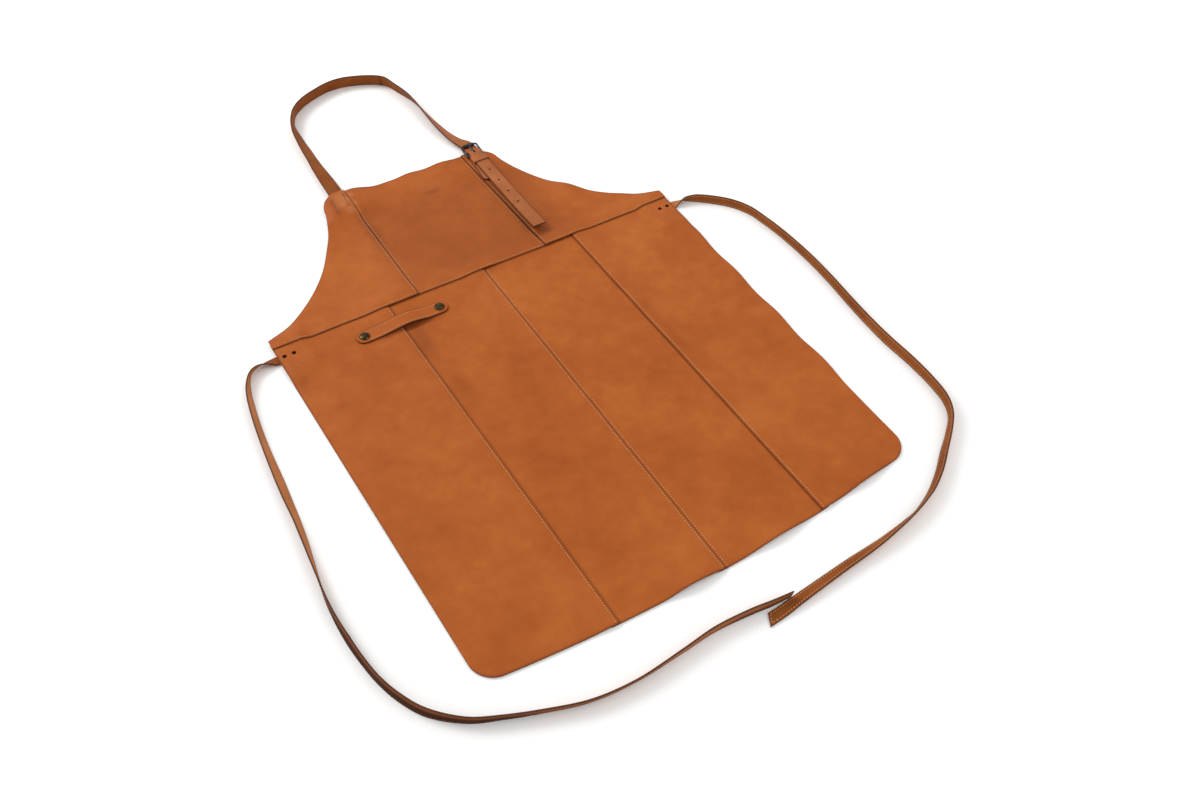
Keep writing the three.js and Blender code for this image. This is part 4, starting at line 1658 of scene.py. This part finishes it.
RIGHT_TIE = (
    Stop(268, TIE_Y, 0, TIE_SEWN_Z),
    Stop(284, TIE_Y, 0, TIE_SEWN_Z),
    Stop(303, TIE_Y, 0, TIE_SEWN_Z),
    Stop(312, -7.5, 32),
    Stop(321, -9.5, 60),
    Stop(336, -17, 86),
    Stop(354, -32, 92),
    Stop(373, -53.5, 93),
    Stop(386, -81, 92),
    Stop(390.3, -109, 92),
    Stop(392.8, -136, 92),
    Stop(393.8, -166, 93),
    Stop(392.8, -213, 95),
    Stop(388.8, -259, 97),
    Stop(383.3, -302, 100),
    Stop(378.8, -344, 103),
    Stop(376.3, -384, 106),
    Stop(376.3, -426, 102),
    Stop(373.8, -464, 100),
    Stop(367.8, -496, 98),
    Stop(356.3, -517, 99),
    Stop(337.5, -534, 109),
    Stop(310, -554, 118),
    Stop(284, -573, 118),
    Stop(258, -588, 115),
    Stop(241, -595, 110),
    Stop(224, -600.5, 107),
    Stop(206, -604, 116),
    Stop(186, -607, 123),
    Stop(165, -609.5, 132),
    Stop(143, -611, 141),
    Stop(122, -612, 147),
    Stop(100, -613.5, 150),
    Stop(80, -615, 154),
    Stop(60, -616.5, 158),
    Stop(40, -618, 165),
    Stop(22, -619.5, 175),
    Stop(3.5, -620.2, 180),
)


@dataclass
class WaistTies:
    """Two long flat ties, stitched along both edges, sewn behind the waist corners and lying loose."""

    finishes: Finishes
    seamwork: Seamwork
    width: float = 14.0
    stitch_in: float = 2.4
    hidden: float = 38.0
    exit_x: float = 297.0
    right_skew: float = 4.0
    # Painted shade where the left tie's face turns from the light: over most of its width down its side,
    # and over part of its width near its end; a stretch towards its end is paled
    left_shade_stretches: tuple[ShadeStretch, ...] = (
        ShadeStretch(390, 730, 1.0, -0.65),
        ShadeStretch(720, 1100, -0.35),
        ShadeStretch(890, 1100, 0.9, -0.2),
    )
    columns: int = 12

    def build_tie(self, name: str, side: int, route: Sequence[Stop]) -> Piece:
        """Builds, sews and dresses one tie.

        Args:
            name: The side's name.
            side: -1 on the left or 1 on the right.
            route: The tie's route.

        Returns:
            The tie.
        """
        ribbon = Ribbon(route, self.width, TIE_LEATHER, skew=self.right_skew if side > 0 else 0.0)
        shade_stretches = self.left_shade_stretches if side < 0 else ()
        piece = ribbon.build(f"waist_tie_{name}_leather", self.columns, self.stitch_in, shade_stretches=shade_stretches)
        punch_corner(piece, side)
        finishes = self.finishes
        leather = finishes.left_tie if side < 0 else finishes.right_tie
        dress(piece, leather, Slot.STRAP, f"waist_tie_{name}")
        upper, lower = finishes.left_tie_threads if side < 0 else finishes.right_tie_threads
        stitches = [
            self.sew(ribbon, 1, f"waist_tie_{name}_upper_stitches", upper),
            self.sew(ribbon, -1, f"waist_tie_{name}_lower_stitches", lower),
        ]
        [made.point * MM for made in ribbon.frames]
        return piece

    def sew(self, ribbon: Ribbon, face: int, name: str, thread: Material) -> Piece:
        """Sews along both edges and across the end of one face of a tie.

        Args:
            ribbon: The tie.
            face: 1 on its upper face or -1 on its lower face.
            name: Name of the stitches.
            thread: The thread.

        Returns:
            The stitches.
        """
        mesh = bmesh.new()
        end = ribbon.length - self.stitch_in
        aside = self.width / 2 - self.stitch_in
        count = self.seamwork.count(end - self.hidden)
        for edge in (-aside, aside):
            self.seamwork.sew(mesh, *ribbon.row((self.hidden, edge), (end, edge), face, count))
        across = self.seamwork.count(2 * aside)
        self.seamwork.sew(mesh, *ribbon.row((end, -aside), (end, aside), face, across))
        return finish_stitches(mesh, name, thread, Slot.STRAP)

    def build(self) -> None:
        """Builds both ties."""
        self.build_tie("left", -1, LEFT_TIE)
        self.build_tie("right", 1, RIGHT_TIE)


# Neck strap with its buckle

BUCKLE_X = 108.0
HEEL_Y = 249.0
WIRE_RADIUS = 1.4
FOLD_RADIUS = WIRE_RADIUS + GAP + LEATHER / 2
CHAPE_LOWER_Z = CLIMB + LEATHER + GAP + LEATHER / 2
CHAPE_UPPER_Z = CHAPE_LOWER_Z + LEATHER + GAP
CHAPE_TOP = CHAPE_UPPER_Z + LEATHER / 2
CHAPE_TAIL_Y = 186.0
HEEL_Z = CHAPE_LOWER_Z + FOLD_RADIUS
FOLD_TOP = HEEL_Z + FOLD_RADIUS + LEATHER / 2
KEEPER_LEATHER = 1.0
STRAP_X = 108.5
STRAP_SEWN_Z = STRAP_RISE - 1.4 * GAP - STRAP_LEATHER / 2
STRAP_END_DROP = 2.6
STRAP_OVER_FOLD_Z = FOLD_TOP + GAP + STRAP_LEATHER / 2
STRAP_IN_KEEPER_Z = CHAPE_TOP + GAP + KEEPER_LEATHER + GAP + STRAP_LEATHER / 2

NECK_ROUTE = (
    Stop(-117, 222, 0, STRAP_SEWN_Z - STRAP_END_DROP),
    Stop(-114.5, 242, 0, STRAP_SEWN_Z),
    Stop(-112.5, 268, 0, STRAP_SEWN_Z),
    Stop(-112, 300, -8, 8),
    Stop(-111.5, 335, -22, 6.8),
    Stop(-111, 362, -35),
    Stop(-110, 400, -42),
    Stop(-107.5, 444, -58),
    Stop(-100, 481, -90),
    Stop(-87, 505, -101),
    Stop(-68, 522, -104),
    Stop(-45, 534, -106),
    Stop(-20, 543, -106),
    Stop(6, 544.1, -104),
    Stop(36, 535, -105),
    Stop(62, 520, -105),
    Stop(72, 508, -104),
    Stop(79, 482, -107),
    Stop(87, 447, -113),
    Stop(89.5, 415, -118),
    Stop(90.5, 373, -130),
    Stop(94, 332, -145),
    Stop(100.5, 302, -161, 5.6),
    Stop(107, 284, -177, 6),
    Stop(STRAP_X, 272, -180, 6.2),
    Stop(STRAP_X, 261, -180, 8.6),
    Stop(STRAP_X, HEEL_Y, -180, STRAP_OVER_FOLD_Z),
    Stop(STRAP_X, 241, -180, STRAP_IN_KEEPER_Z + 0.1),
    Stop(STRAP_X, 232, -180, STRAP_IN_KEEPER_Z),
    Stop(STRAP_X, 222, -180, STRAP_IN_KEEPER_Z),
    Stop(STRAP_X, CHAPE_TAIL_Y, -180, 8.6),
    Stop(STRAP_X, 140, -180, 8),
    Stop(108, 90, -180, 9),
    Stop(107.5, 45, -180, 12),
)


@dataclass
class NeckStrap:
    """Strap sewn behind the bib's left corner, looped round and held in the buckle at the right."""

    finishes: Finishes
    crease_in: float = 2.2
    columns: int = 14
    holes: tuple[float, ...] = (201.5, 172, 141.5, 111.5)
    hole_radius: float = 1.7
    slot_y: float = 255.5
    slot_size: tuple[float, float, float] = (3.6, 12.0, 16.0)
    fold: tuple[float, float] = (66.0, 515.0)

    def build(self) -> None:
        """Builds the strap and punches it."""
        ribbon = Ribbon(NECK_ROUTE, STRAP_WIDTH, STRAP_LEATHER)
        nearest = min(ribbon.frames, key=lambda made: (made.point.xy - Vector(self.fold)).length)
        piece = ribbon.build("neck_strap_leather", self.columns, self.crease_in, [nearest.distance])
        cutter = bmesh.new()
        for y in self.holes:
            add_punch(cutter, STRAP_X, y, self.hole_radius)
        add_block(cutter, (BUCKLE_X, self.slot_y, STRAP_OVER_FOLD_Z), self.slot_size)
        cut_out(piece, cutter)
        dress(piece, self.finishes.strap, Slot.STRAP, "neck_strap")


@dataclass
class Buckle:
    """Roller buckle held by a folded tab, the chape, with a keeper loop for the strap's end."""

    finishes: Finishes
    tilt: float = 9.0
    inner_width: float = 23.0
    length: float = 24.0
    corner: float = 3.0
    wire_sides: int = 16
    corner_steps: int = 8
    roller_radius: float = 2.7
    roller_length: float = 17.0
    roller_ease: float = 0.5
    roller_ease_steps: int = 3
    roller_steps: int = 32
    rim_angle: float = math.radians(60)
    prong_radius: float = 2.35
    prong_section: tuple[float, float] = (1.2, 0.65)
    prong_sides: int = 12
    prong_wrap: float = math.radians(300)
    prong_wrap_steps: int = 20
    # Length and rise of the prong's first run, and the narrowing of its long one
    prong_lead: tuple[float, float] = (4.0, 0.1)
    prong_narrowing: float = 0.95
    # Length, rise and narrowing of the two runs that round off its tip
    prong_tip: tuple[tuple[float, float, float], ...] = ((2.2, -0.05, 0.8), (0.7, -0.12, 0.45))
    chape_x: float = 106.4
    chape_width: float = 18.0
    chape_slant: float = 0.085
    chape_round: float = 7.0
    chape_settle: float = 9.0
    chape_columns: int = 10
    chape_crowding: float = 0.5
    flat_steps: int = 16
    flat_crowding: float = 0.8
    fold_steps: int = 16
    settle_steps: int = 10
    slot_size: tuple[float, float, float] = (3.6, 7.8, 12.0)
    keeper_y: tuple[float, float] = (227.5, 241.5)
    keeper_crown: float = 1.4
    keeper_corner: float = 1.2
    keeper_corner_steps: int = 5
    keeper_cuts: int = 9

    def seat(self) -> Matrix:
        """Place of the buckle, whose heel bar is on its X axis."""
        lift = Matrix.Rotation(math.radians(self.tilt), 4, "X")
        return Matrix.Translation((BUCKLE_X, HEEL_Y, HEEL_Z)) @ lift

    def build_frame(self) -> Piece:
        """Bends the frame from one wire: a run and a corner, four times round.

        Returns:
            The frame.
        """
        mesh = bmesh.new()
        half = self.inner_width / 2 + WIRE_RADIUS
        straight = half - self.corner
        stand = Matrix.Translation((-straight, 0, 0)) @ Matrix.Rotation(math.pi / 2, 4, "Y")
        bmesh.ops.create_circle(
            mesh, cap_ends=False, segments=self.wire_sides, radius=WIRE_RADIUS, matrix=stand
        )
        ring = mesh.edges[:]
        heading = Vector((1, 0, 0))
        runs = (2 * straight, self.length - 2 * self.corner) * 2
        far = self.length - self.corner
        corners = ((straight, self.corner), (straight, far), (-straight, far), (-straight, self.corner))
        for run, (x, y) in zip(runs, corners, strict=True):
            verts, ring = draw_out(mesh, ring, heading * run)
            turned = bmesh.ops.spin(
                mesh,
                geom=verts + ring,
                cent=(x, y, 0),
                axis=(0, 0, 1),
                angle=math.pi / 2,
                steps=self.corner_steps,
                use_merge=False,
                use_duplicate=False,
            )["geom_last"]
            ring = only(turned, bmesh.types.BMEdge)
            heading.rotate(Matrix.Rotation(math.pi / 2, 3, "Z"))
        weld(mesh)
        bmesh.ops.transform(mesh, matrix=self.seat(), verts=mesh.verts[:])
        piece = to_object(mesh, "buckle_frame_wire")
        return dress(piece, [self.finishes.gunmetal], Slot.BUCKLE, "buckle_frame")

    def build_roller(self) -> Piece:
        """Turns the sleeve that rolls on the frame's front bar.

        Returns:
            The roller.
        """
        mesh = bmesh.new()
        inner, outer = WIRE_RADIUS + GAP, self.roller_radius
        half = self.roller_length / 2
        profile = ((-half, inner), (-half, outer), (half, outer), (half, inner))
        verts = [mesh.verts.new((x, self.length, radius)) for x, radius in profile]
        edges = [mesh.edges.new((verts[i], verts[(i + 1) % len(verts)])) for i in range(len(verts))]
        bmesh.ops.spin(
            mesh,
            geom=verts + edges,
            cent=(0, self.length, 0),
            axis=(1, 0, 0),
            angle=2 * math.pi,
            steps=self.roller_steps,
            use_merge=True,
        )
        weld(mesh)
        rim = [edge for edge in mesh.edges if edge.calc_face_angle(0) > self.rim_angle]
        ease_edges(mesh, rim, self.roller_ease, self.roller_ease_steps)
        bmesh.ops.transform(mesh, matrix=self.seat(), verts=mesh.verts[:])
        piece = to_object(mesh, "buckle_roller_sleeve")
        return dress(piece, [self.finishes.gunmetal], Slot.BUCKLE, "buckle_roller")

    def build_prong(self) -> Piece:
        """Bends the prong round the heel bar and runs it over the roller.

        Returns:
            The prong.
        """
        mesh = bmesh.new()
        section = Matrix.Diagonal((*self.prong_section, 1, 1))
        upright = Matrix.Translation((0, 0, self.prong_radius)) @ Matrix.Rotation(math.pi / 2, 4, "X")
        start = Matrix.Rotation(self.prong_wrap, 4, "X") @ upright @ section
        bmesh.ops.create_circle(
            mesh, cap_ends=False, segments=self.prong_sides, radius=1, matrix=start
        )
        turned = bmesh.ops.spin(
            mesh,
            geom=mesh.verts[:] + mesh.edges[:],
            cent=(0, 0, 0),
            axis=(1, 0, 0),
            angle=-self.prong_wrap,
            steps=self.prong_wrap_steps,
            use_merge=False,
        )["geom_last"]
        ring = only(turned, bmesh.types.BMEdge)
        rise = self.roller_radius + GAP + self.prong_section[1] - self.prong_radius
        lead, lift = self.prong_lead
        runs = (
            (lead, lift, 1.0),
            (self.length - lead, rise - lift, self.prong_narrowing),
            *self.prong_tip,
        )
        for along, up, narrowing in runs:
            verts, ring = draw_out(mesh, ring, Vector((0, along, up)))
            middle = sum((vert.co for vert in verts), Vector()) / len(verts)
            bmesh.ops.scale(
                mesh, vec=(narrowing, 1, narrowing), space=Matrix.Translation(-middle), verts=verts
            )
        bmesh.ops.holes_fill(mesh, edges=mesh.edges[:], sides=0)
        face_outwards(mesh)
        bmesh.ops.transform(mesh, matrix=self.seat(), verts=mesh.verts[:])
        piece = to_object(mesh, "buckle_prong_pin")
        return dress(piece, [self.finishes.gunmetal], Slot.BUCKLE, "buckle_prong")

    def chape_run(self) -> list[tuple[float, float]]:
        """Follows the chape up the bib, round the heel bar and back.

        Returns:
            Place along and height of the middle of its leather.
        """
        shares = [crowd(share, self.flat_crowding) for share in spread(0, 1, self.flat_steps)]
        run = [(lerp(CHAPE_TAIL_Y, HEEL_Y, share), CHAPE_LOWER_Z) for share in shares[:-1]]
        for i in range(self.fold_steps):
            turn = math.pi * (i / self.fold_steps - 0.5)
            run.append((HEEL_Y + FOLD_RADIUS * math.cos(turn), HEEL_Z + FOLD_RADIUS * math.sin(turn)))
        fold_z = HEEL_Z + FOLD_RADIUS
        settled = HEEL_Y - self.chape_settle
        halfway = HEEL_Y - self.chape_settle / 2
        back = geometry.interpolate_bezier(
            Vector((HEEL_Y, fold_z)),
            Vector((halfway, fold_z)),
            Vector((halfway, CHAPE_UPPER_Z)),
            Vector((settled, CHAPE_UPPER_Z)),
            self.settle_steps,
        )
        run += [(point.x, point.y) for point in back]
        return run + [(lerp(settled, CHAPE_TAIL_Y, share), CHAPE_UPPER_Z) for share in shares[1:]]

    def chape_half(self, y: float) -> float:
        """Half the chape's width, which rounds off at its tail."""
        into = max(0.0, self.chape_round - (y - CHAPE_TAIL_Y))
        rounding = self.chape_round - math.sqrt(self.chape_round**2 - min(into, self.chape_round) ** 2)
        return self.chape_width / 2 - rounding

    def build_chape(self) -> Piece:
        """Folds the chape round the heel bar and cuts the prong's slot.

        Returns:
            The chape.
        """
        run = [Vector(point) for point in self.chape_run()]
        columns = self.chape_columns

        def place(column: int, row: int, upper: bool) -> Vector:
            """Point of the chape."""
            here = run[row]
            along = (run[min(row + 1, len(run) - 1)] - run[max(row - 1, 0)]).normalized()
            depth = LEATHER / 2 if upper else -LEATHER / 2
            aside = lerp(-1, 1, crowd(column / columns, self.chape_crowding)) * self.chape_half(here.x)
            x = self.chape_x + aside - self.chape_slant * max(0.0, HEEL_Y - here.x)
            return Vector((x, here.x - along.y * depth, here.y + along.x * depth))

        piece = to_object(closed_sheet(columns, len(run) - 1, place), "buckle_chape_leather")
        cutter = bmesh.new()
        add_block(cutter, (BUCKLE_X, HEEL_Y, HEEL_Z), self.slot_size)
        cut_out(piece, cutter)
        return dress(piece, self.finishes.strap, Slot.STRAP, "buckle_chape")

    def build_keeper(self) -> Piece:
        """Bends the keeper round the strap.

        Returns:
            The keeper.
        """
        low_y, high_y = self.keeper_y
        low = CHAPE_TOP + GAP
        high = STRAP_IN_KEEPER_Z + STRAP_LEATHER / 2 + 2 * GAP + KEEPER_LEATHER
        width = STRAP_WIDTH + 4 * GAP + 2 * KEEPER_LEATHER
        middle = Vector((STRAP_X, (low_y + high_y) / 2, (low + high) / 2))
        mesh = bmesh.new()

        def lengthwise() -> list[bmesh.types.BMEdge]:
            """Edges that run along the strap."""
            return [edge for edge in mesh.edges if abs(edge.verts[0].co.y - edge.verts[1].co.y) > 1]

        add_block(mesh, middle, (width, high_y - low_y, high - low))
        ends = [face for face in mesh.faces if abs(face.normal.y) > 0.5]
        bmesh.ops.delete(mesh, geom=ends, context="FACES_ONLY")
        ease_edges(mesh, lengthwise(), self.keeper_corner, self.keeper_corner_steps)
        bmesh.ops.subdivide_edges(mesh, edges=lengthwise(), cuts=self.keeper_cuts, use_grid_fill=True)
        for vert in mesh.verts:
            aside = (vert.co.x - middle.x) / (width / 2)
            if vert.co.z > middle.z:
                vert.co.z += self.keeper_crown * (1 - aside * aside)
        face_outwards(mesh)
        bmesh.ops.solidify(mesh, geom=mesh.faces[:], thickness=KEEPER_LEATHER)
        face_outwards(mesh)
        for face in mesh.faces:
            face.material_index = Face.EDGE if abs(face.normal.y) > 0.9 else Face.UPPER
        piece = to_object(mesh, "strap_keeper_leather")
        return dress(piece, self.finishes.keeper, Slot.STRAP, "strap_keeper")

    def build(self) -> None:
        """Builds the chape, the buckle's three parts and the keeper."""
        self.build_chape()
        self.build_frame()
        self.build_roller()
        self.build_prong()
        self.build_keeper()


# Towel loop


@dataclass
class TowelLoop:
    """Stitched strip with round ends, bowed up between two domed snap caps."""

    finishes: Finishes
    seamwork: Seamwork
    y: float = -26.0
    width: float = 22.0
    thickness: float = 2.0
    caps: tuple[float, float] = (-190.5, -84.5)
    bow: float = 4.6
    bow_peak: float = 0.58
    tip: float = 2.0
    stitch_in: float = 3.2
    stitch_margin: float = 4.0
    needle_sink: float = 0.15
    groove_depth: float = 0.2
    groove_width: float = 1.0
    # Darkened edges: partly dark cut edge, partly painted shade under the strip's lifted rim
    edge_dark: float = 0.6
    edge_dark_width: float = 1.1
    columns: int = 96
    column_crowding: float = 0.9
    rows: int = 14
    row_crowding: float = 0.5
    cap_radius: float = 6.9
    cap_height: float = 2.6
    cap_steps: int = 48
    # The cap's section, as shares of its radius and height: a dome with a low ring pressed into it
    cap_section: tuple[tuple[float, float], ...] = (
        (0, 1),
        (0.3, 0.97),
        (0.5, 0.9),
        (0.58, 0.8),
        (0.66, 0.84),
        (0.82, 0.68),
        (0.94, 0.42),
        (1, 0.2),
        (0.98, 0),
        (0, 0),
    )

    def half_at(self, x: float) -> float:
        """Half the strip's width, which rounds off past the caps."""
        half = self.width / 2
        into = max(0.0, self.caps[0] - x, x - self.caps[1])
        return max(self.tip, math.sqrt(max(0.0, half**2 - into**2)))

    def top(self, x: float) -> float:
        """Height of the strip's upper face."""
        half = self.width / 2
        free = clamp((x - self.caps[0] - half) / (self.caps[1] - self.caps[0] - self.width))
        lifted = self.bow * smooth(min(free / self.bow_peak, (1 - free) / (1 - self.bow_peak)))
        return LEATHER + GAP + self.thickness + lifted

    def build_strip(self) -> Piece:
        """Builds and dresses the strip.

        Returns:
            The strip.
        """
        half = self.width / 2
        start, end = self.caps[0] - half, self.caps[1] + half

        def spot(column: int, row: int) -> tuple[float, float]:
            """Place along the strip and share across it, from -1 to 1."""
            x = lerp(start, end, crowd(column / self.columns, self.column_crowding))
            return x, lerp(-1, 1, crowd(row / self.rows, self.row_crowding))

        def place(column: int, row: int, upper: bool) -> Vector:
            """Point of the strip."""
            x, across = spot(column, row)
            aside = across * self.half_at(x)
            from_row = self.half_at(x) - abs(aside) - self.stitch_in
            groove = dip(from_row, self.groove_depth, self.groove_width)
            height = self.top(x) - (groove if upper else self.thickness)
            return Vector((x, self.y + aside, height))

        def shade(column: int, row: int) -> float:
            """Darkening along the strip's edges, partly dark cut edge and partly painted shade under its
            lifted rim.
            """
            x, across = spot(column, row)
            from_edge = self.half_at(x) * (1 - abs(across))
            return dip(from_edge, self.edge_dark, self.edge_dark_width)

        piece = to_object(closed_sheet(self.columns, self.rows, place, shade), "towel_loop_leather")
        return dress(piece, self.finishes.panel, Slot.PANEL, "towel_loop")

    def build_cap(self, name: str, x: float) -> Piece:
        """Turns a domed cap with a low ring pressed into it.

        Args:
            name: The side's name.
            x: The cap's place across.

        Returns:
            The cap.
        """
        mesh = bmesh.new()
        section = [(out * self.cap_radius, 0, up * self.cap_height) for out, up in self.cap_section]
        verts = [mesh.verts.new(point) for point in section]
        edges = [mesh.edges.new(pair) for pair in zip(verts, verts[1:])]
        bmesh.ops.spin(
            mesh,
            geom=verts + edges,
            cent=(0, 0, 0),
            axis=(0, 0, 1),
            angle=2 * math.pi,
            steps=self.cap_steps,
            use_merge=True,
        )
        weld(mesh)
        base = Vector((x, self.y, LEATHER + GAP + self.thickness + GAP))
        bmesh.ops.translate(mesh, verts=mesh.verts[:], vec=base)
        piece = to_object(mesh, f"snap_cap_{name}_dome")
        return dress(piece, [self.finishes.brass], Slot.SNAP, f"snap_cap_{name}")

    def sew(self) -> Piece:
        """Sews a row along each edge of the strip.

        Returns:
            The thread.
        """
        mesh = bmesh.new()
        start, end = self.caps[0] + self.stitch_margin, self.caps[1] - self.stitch_margin
        for sign in (-1, 1):
            holes = []
            for x in spread(start, end, self.seamwork.count(end - start)):
                aside = sign * (self.half_at(x) - self.stitch_in)
                holes.append(Vector((x, self.y + aside, self.top(x) - self.needle_sink)))
            self.seamwork.sew_flat(mesh, holes)
        return finish_stitches(mesh, "towel_loop_stitches", self.finishes.thread, Slot.PANEL)

    def build(self) -> None:
        """Builds the strip, its stitches and its caps."""
        self.build_strip()
        self.sew()
        for name, x in zip(("left", "right"), self.caps, strict=True):
            self.build_cap(name, x)


# Studio


@dataclass(frozen=True)
class Softbox:
    """A square lamp that faces the origin, in metres and watts."""

    name: str
    place: tuple[float, float, float]
    size: float
    power: float


@dataclass
class Studio:
    """White paper floor, soft light and the camera at the photograph's angle."""

    finishes: Finishes
    target: tuple[float, float, float] = (12.66, -273.94, 0.0)
    distance: float = 1220.96
    azimuth: float = 31.52
    elevation: float = 48.83
    focal_pixels: float = 1000.0
    image_width: float = 1200.0
    sensor: float = 36.0
    floor_half: float = 4000.0
    floor_cells: int = 8
    floor_drop: float = 0.1
    sky: float = 0.79
    lamps: tuple[Softbox, ...] = (
        Softbox("key_softbox", (-1.3, 1.7, 1.9), 1.3, 42.0),
        Softbox("fill_softbox", (1.4, -1.5, 2.2), 2.0, 16.0),
    )

    def build_camera(self) -> None:
        """Places the camera, with the photograph's field of view."""
        turn, lift = math.radians(self.azimuth), math.radians(self.elevation)
        away = Vector((math.sin(turn), math.cos(turn), 0))
        look = away * math.cos(lift) - Vector((0, 0, math.sin(lift)))
        data = bpy.data.cameras.new("camera")
        data.sensor_width = self.sensor
        data.lens = self.focal_pixels * self.sensor / self.image_width
        camera = bpy.data.objects.new("camera", data)
        camera.location = (Vector(self.target) - look * self.distance) * MM
        camera.rotation_euler = look.to_track_quat("-Z", "Y").to_euler()
        bpy.context.scene.collection.objects.link(camera)
        bpy.context.scene.camera = camera

    def build_lights(self) -> None:
        """Lights the apron with a white surround and two softboxes."""
        world = bpy.data.worlds.new("white_surround")
        world.use_nodes = True
        surround = world.node_tree.nodes["Background"]
        surround.inputs["Color"].default_value = (1, 1, 1, 1)
        surround.inputs["Strength"].default_value = self.sky
        bpy.context.scene.world = world
        for softbox in self.lamps:
            data = bpy.data.lights.new(softbox.name, "AREA")
            data.size = softbox.size
            data.energy = softbox.power
            lamp = bpy.data.objects.new(softbox.name, data)
            lamp.location = softbox.place
            lamp.rotation_euler = (-Vector(softbox.place)).to_track_quat("-Z", "Y").to_euler()
            bpy.context.scene.collection.objects.link(lamp)

    def build_floor(self) -> None:
        """Lays the floor just under the apron."""
        mesh = bmesh.new()
        cells = self.floor_cells
        bmesh.ops.create_grid(mesh, x_segments=cells, y_segments=cells, size=self.floor_half)
        bmesh.ops.translate(mesh, verts=mesh.verts[:], vec=-UP * self.floor_drop)
        floor = to_object(mesh, "paper_floor")
        floor.data.materials.append(self.finishes.paper)

    def build(self) -> None:
        """Builds the camera, the lights and the floor."""
        self.build_camera()
        self.build_lights()
        self.build_floor()
        bpy.context.scene.view_settings.view_transform = "Standard"


def main() -> None:
    """Builds the studio and the apron."""
    logging.basicConfig(level=logging.INFO, format="%(name)s %(message)s")
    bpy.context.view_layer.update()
    LOG.info("frame: %d nodes", len(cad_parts))
    finishes = Finishes()
    Studio(finishes).build()
    lie, wear, seamwork = Lie(), Wear(), Seamwork()
    WaistTies(finishes, seamwork).build()
    skirt = Skirt(finishes, lie, wear, seamwork)
    skirt.build()
    Bib(finishes, lie, wear, seamwork, skirt).build()
    NeckStrap(finishes).build()
    Buckle(finishes).build()
    TowelLoop(finishes, seamwork).build()
    bpy.context.view_layer.update()


if __name__ == "__main__":
    main()
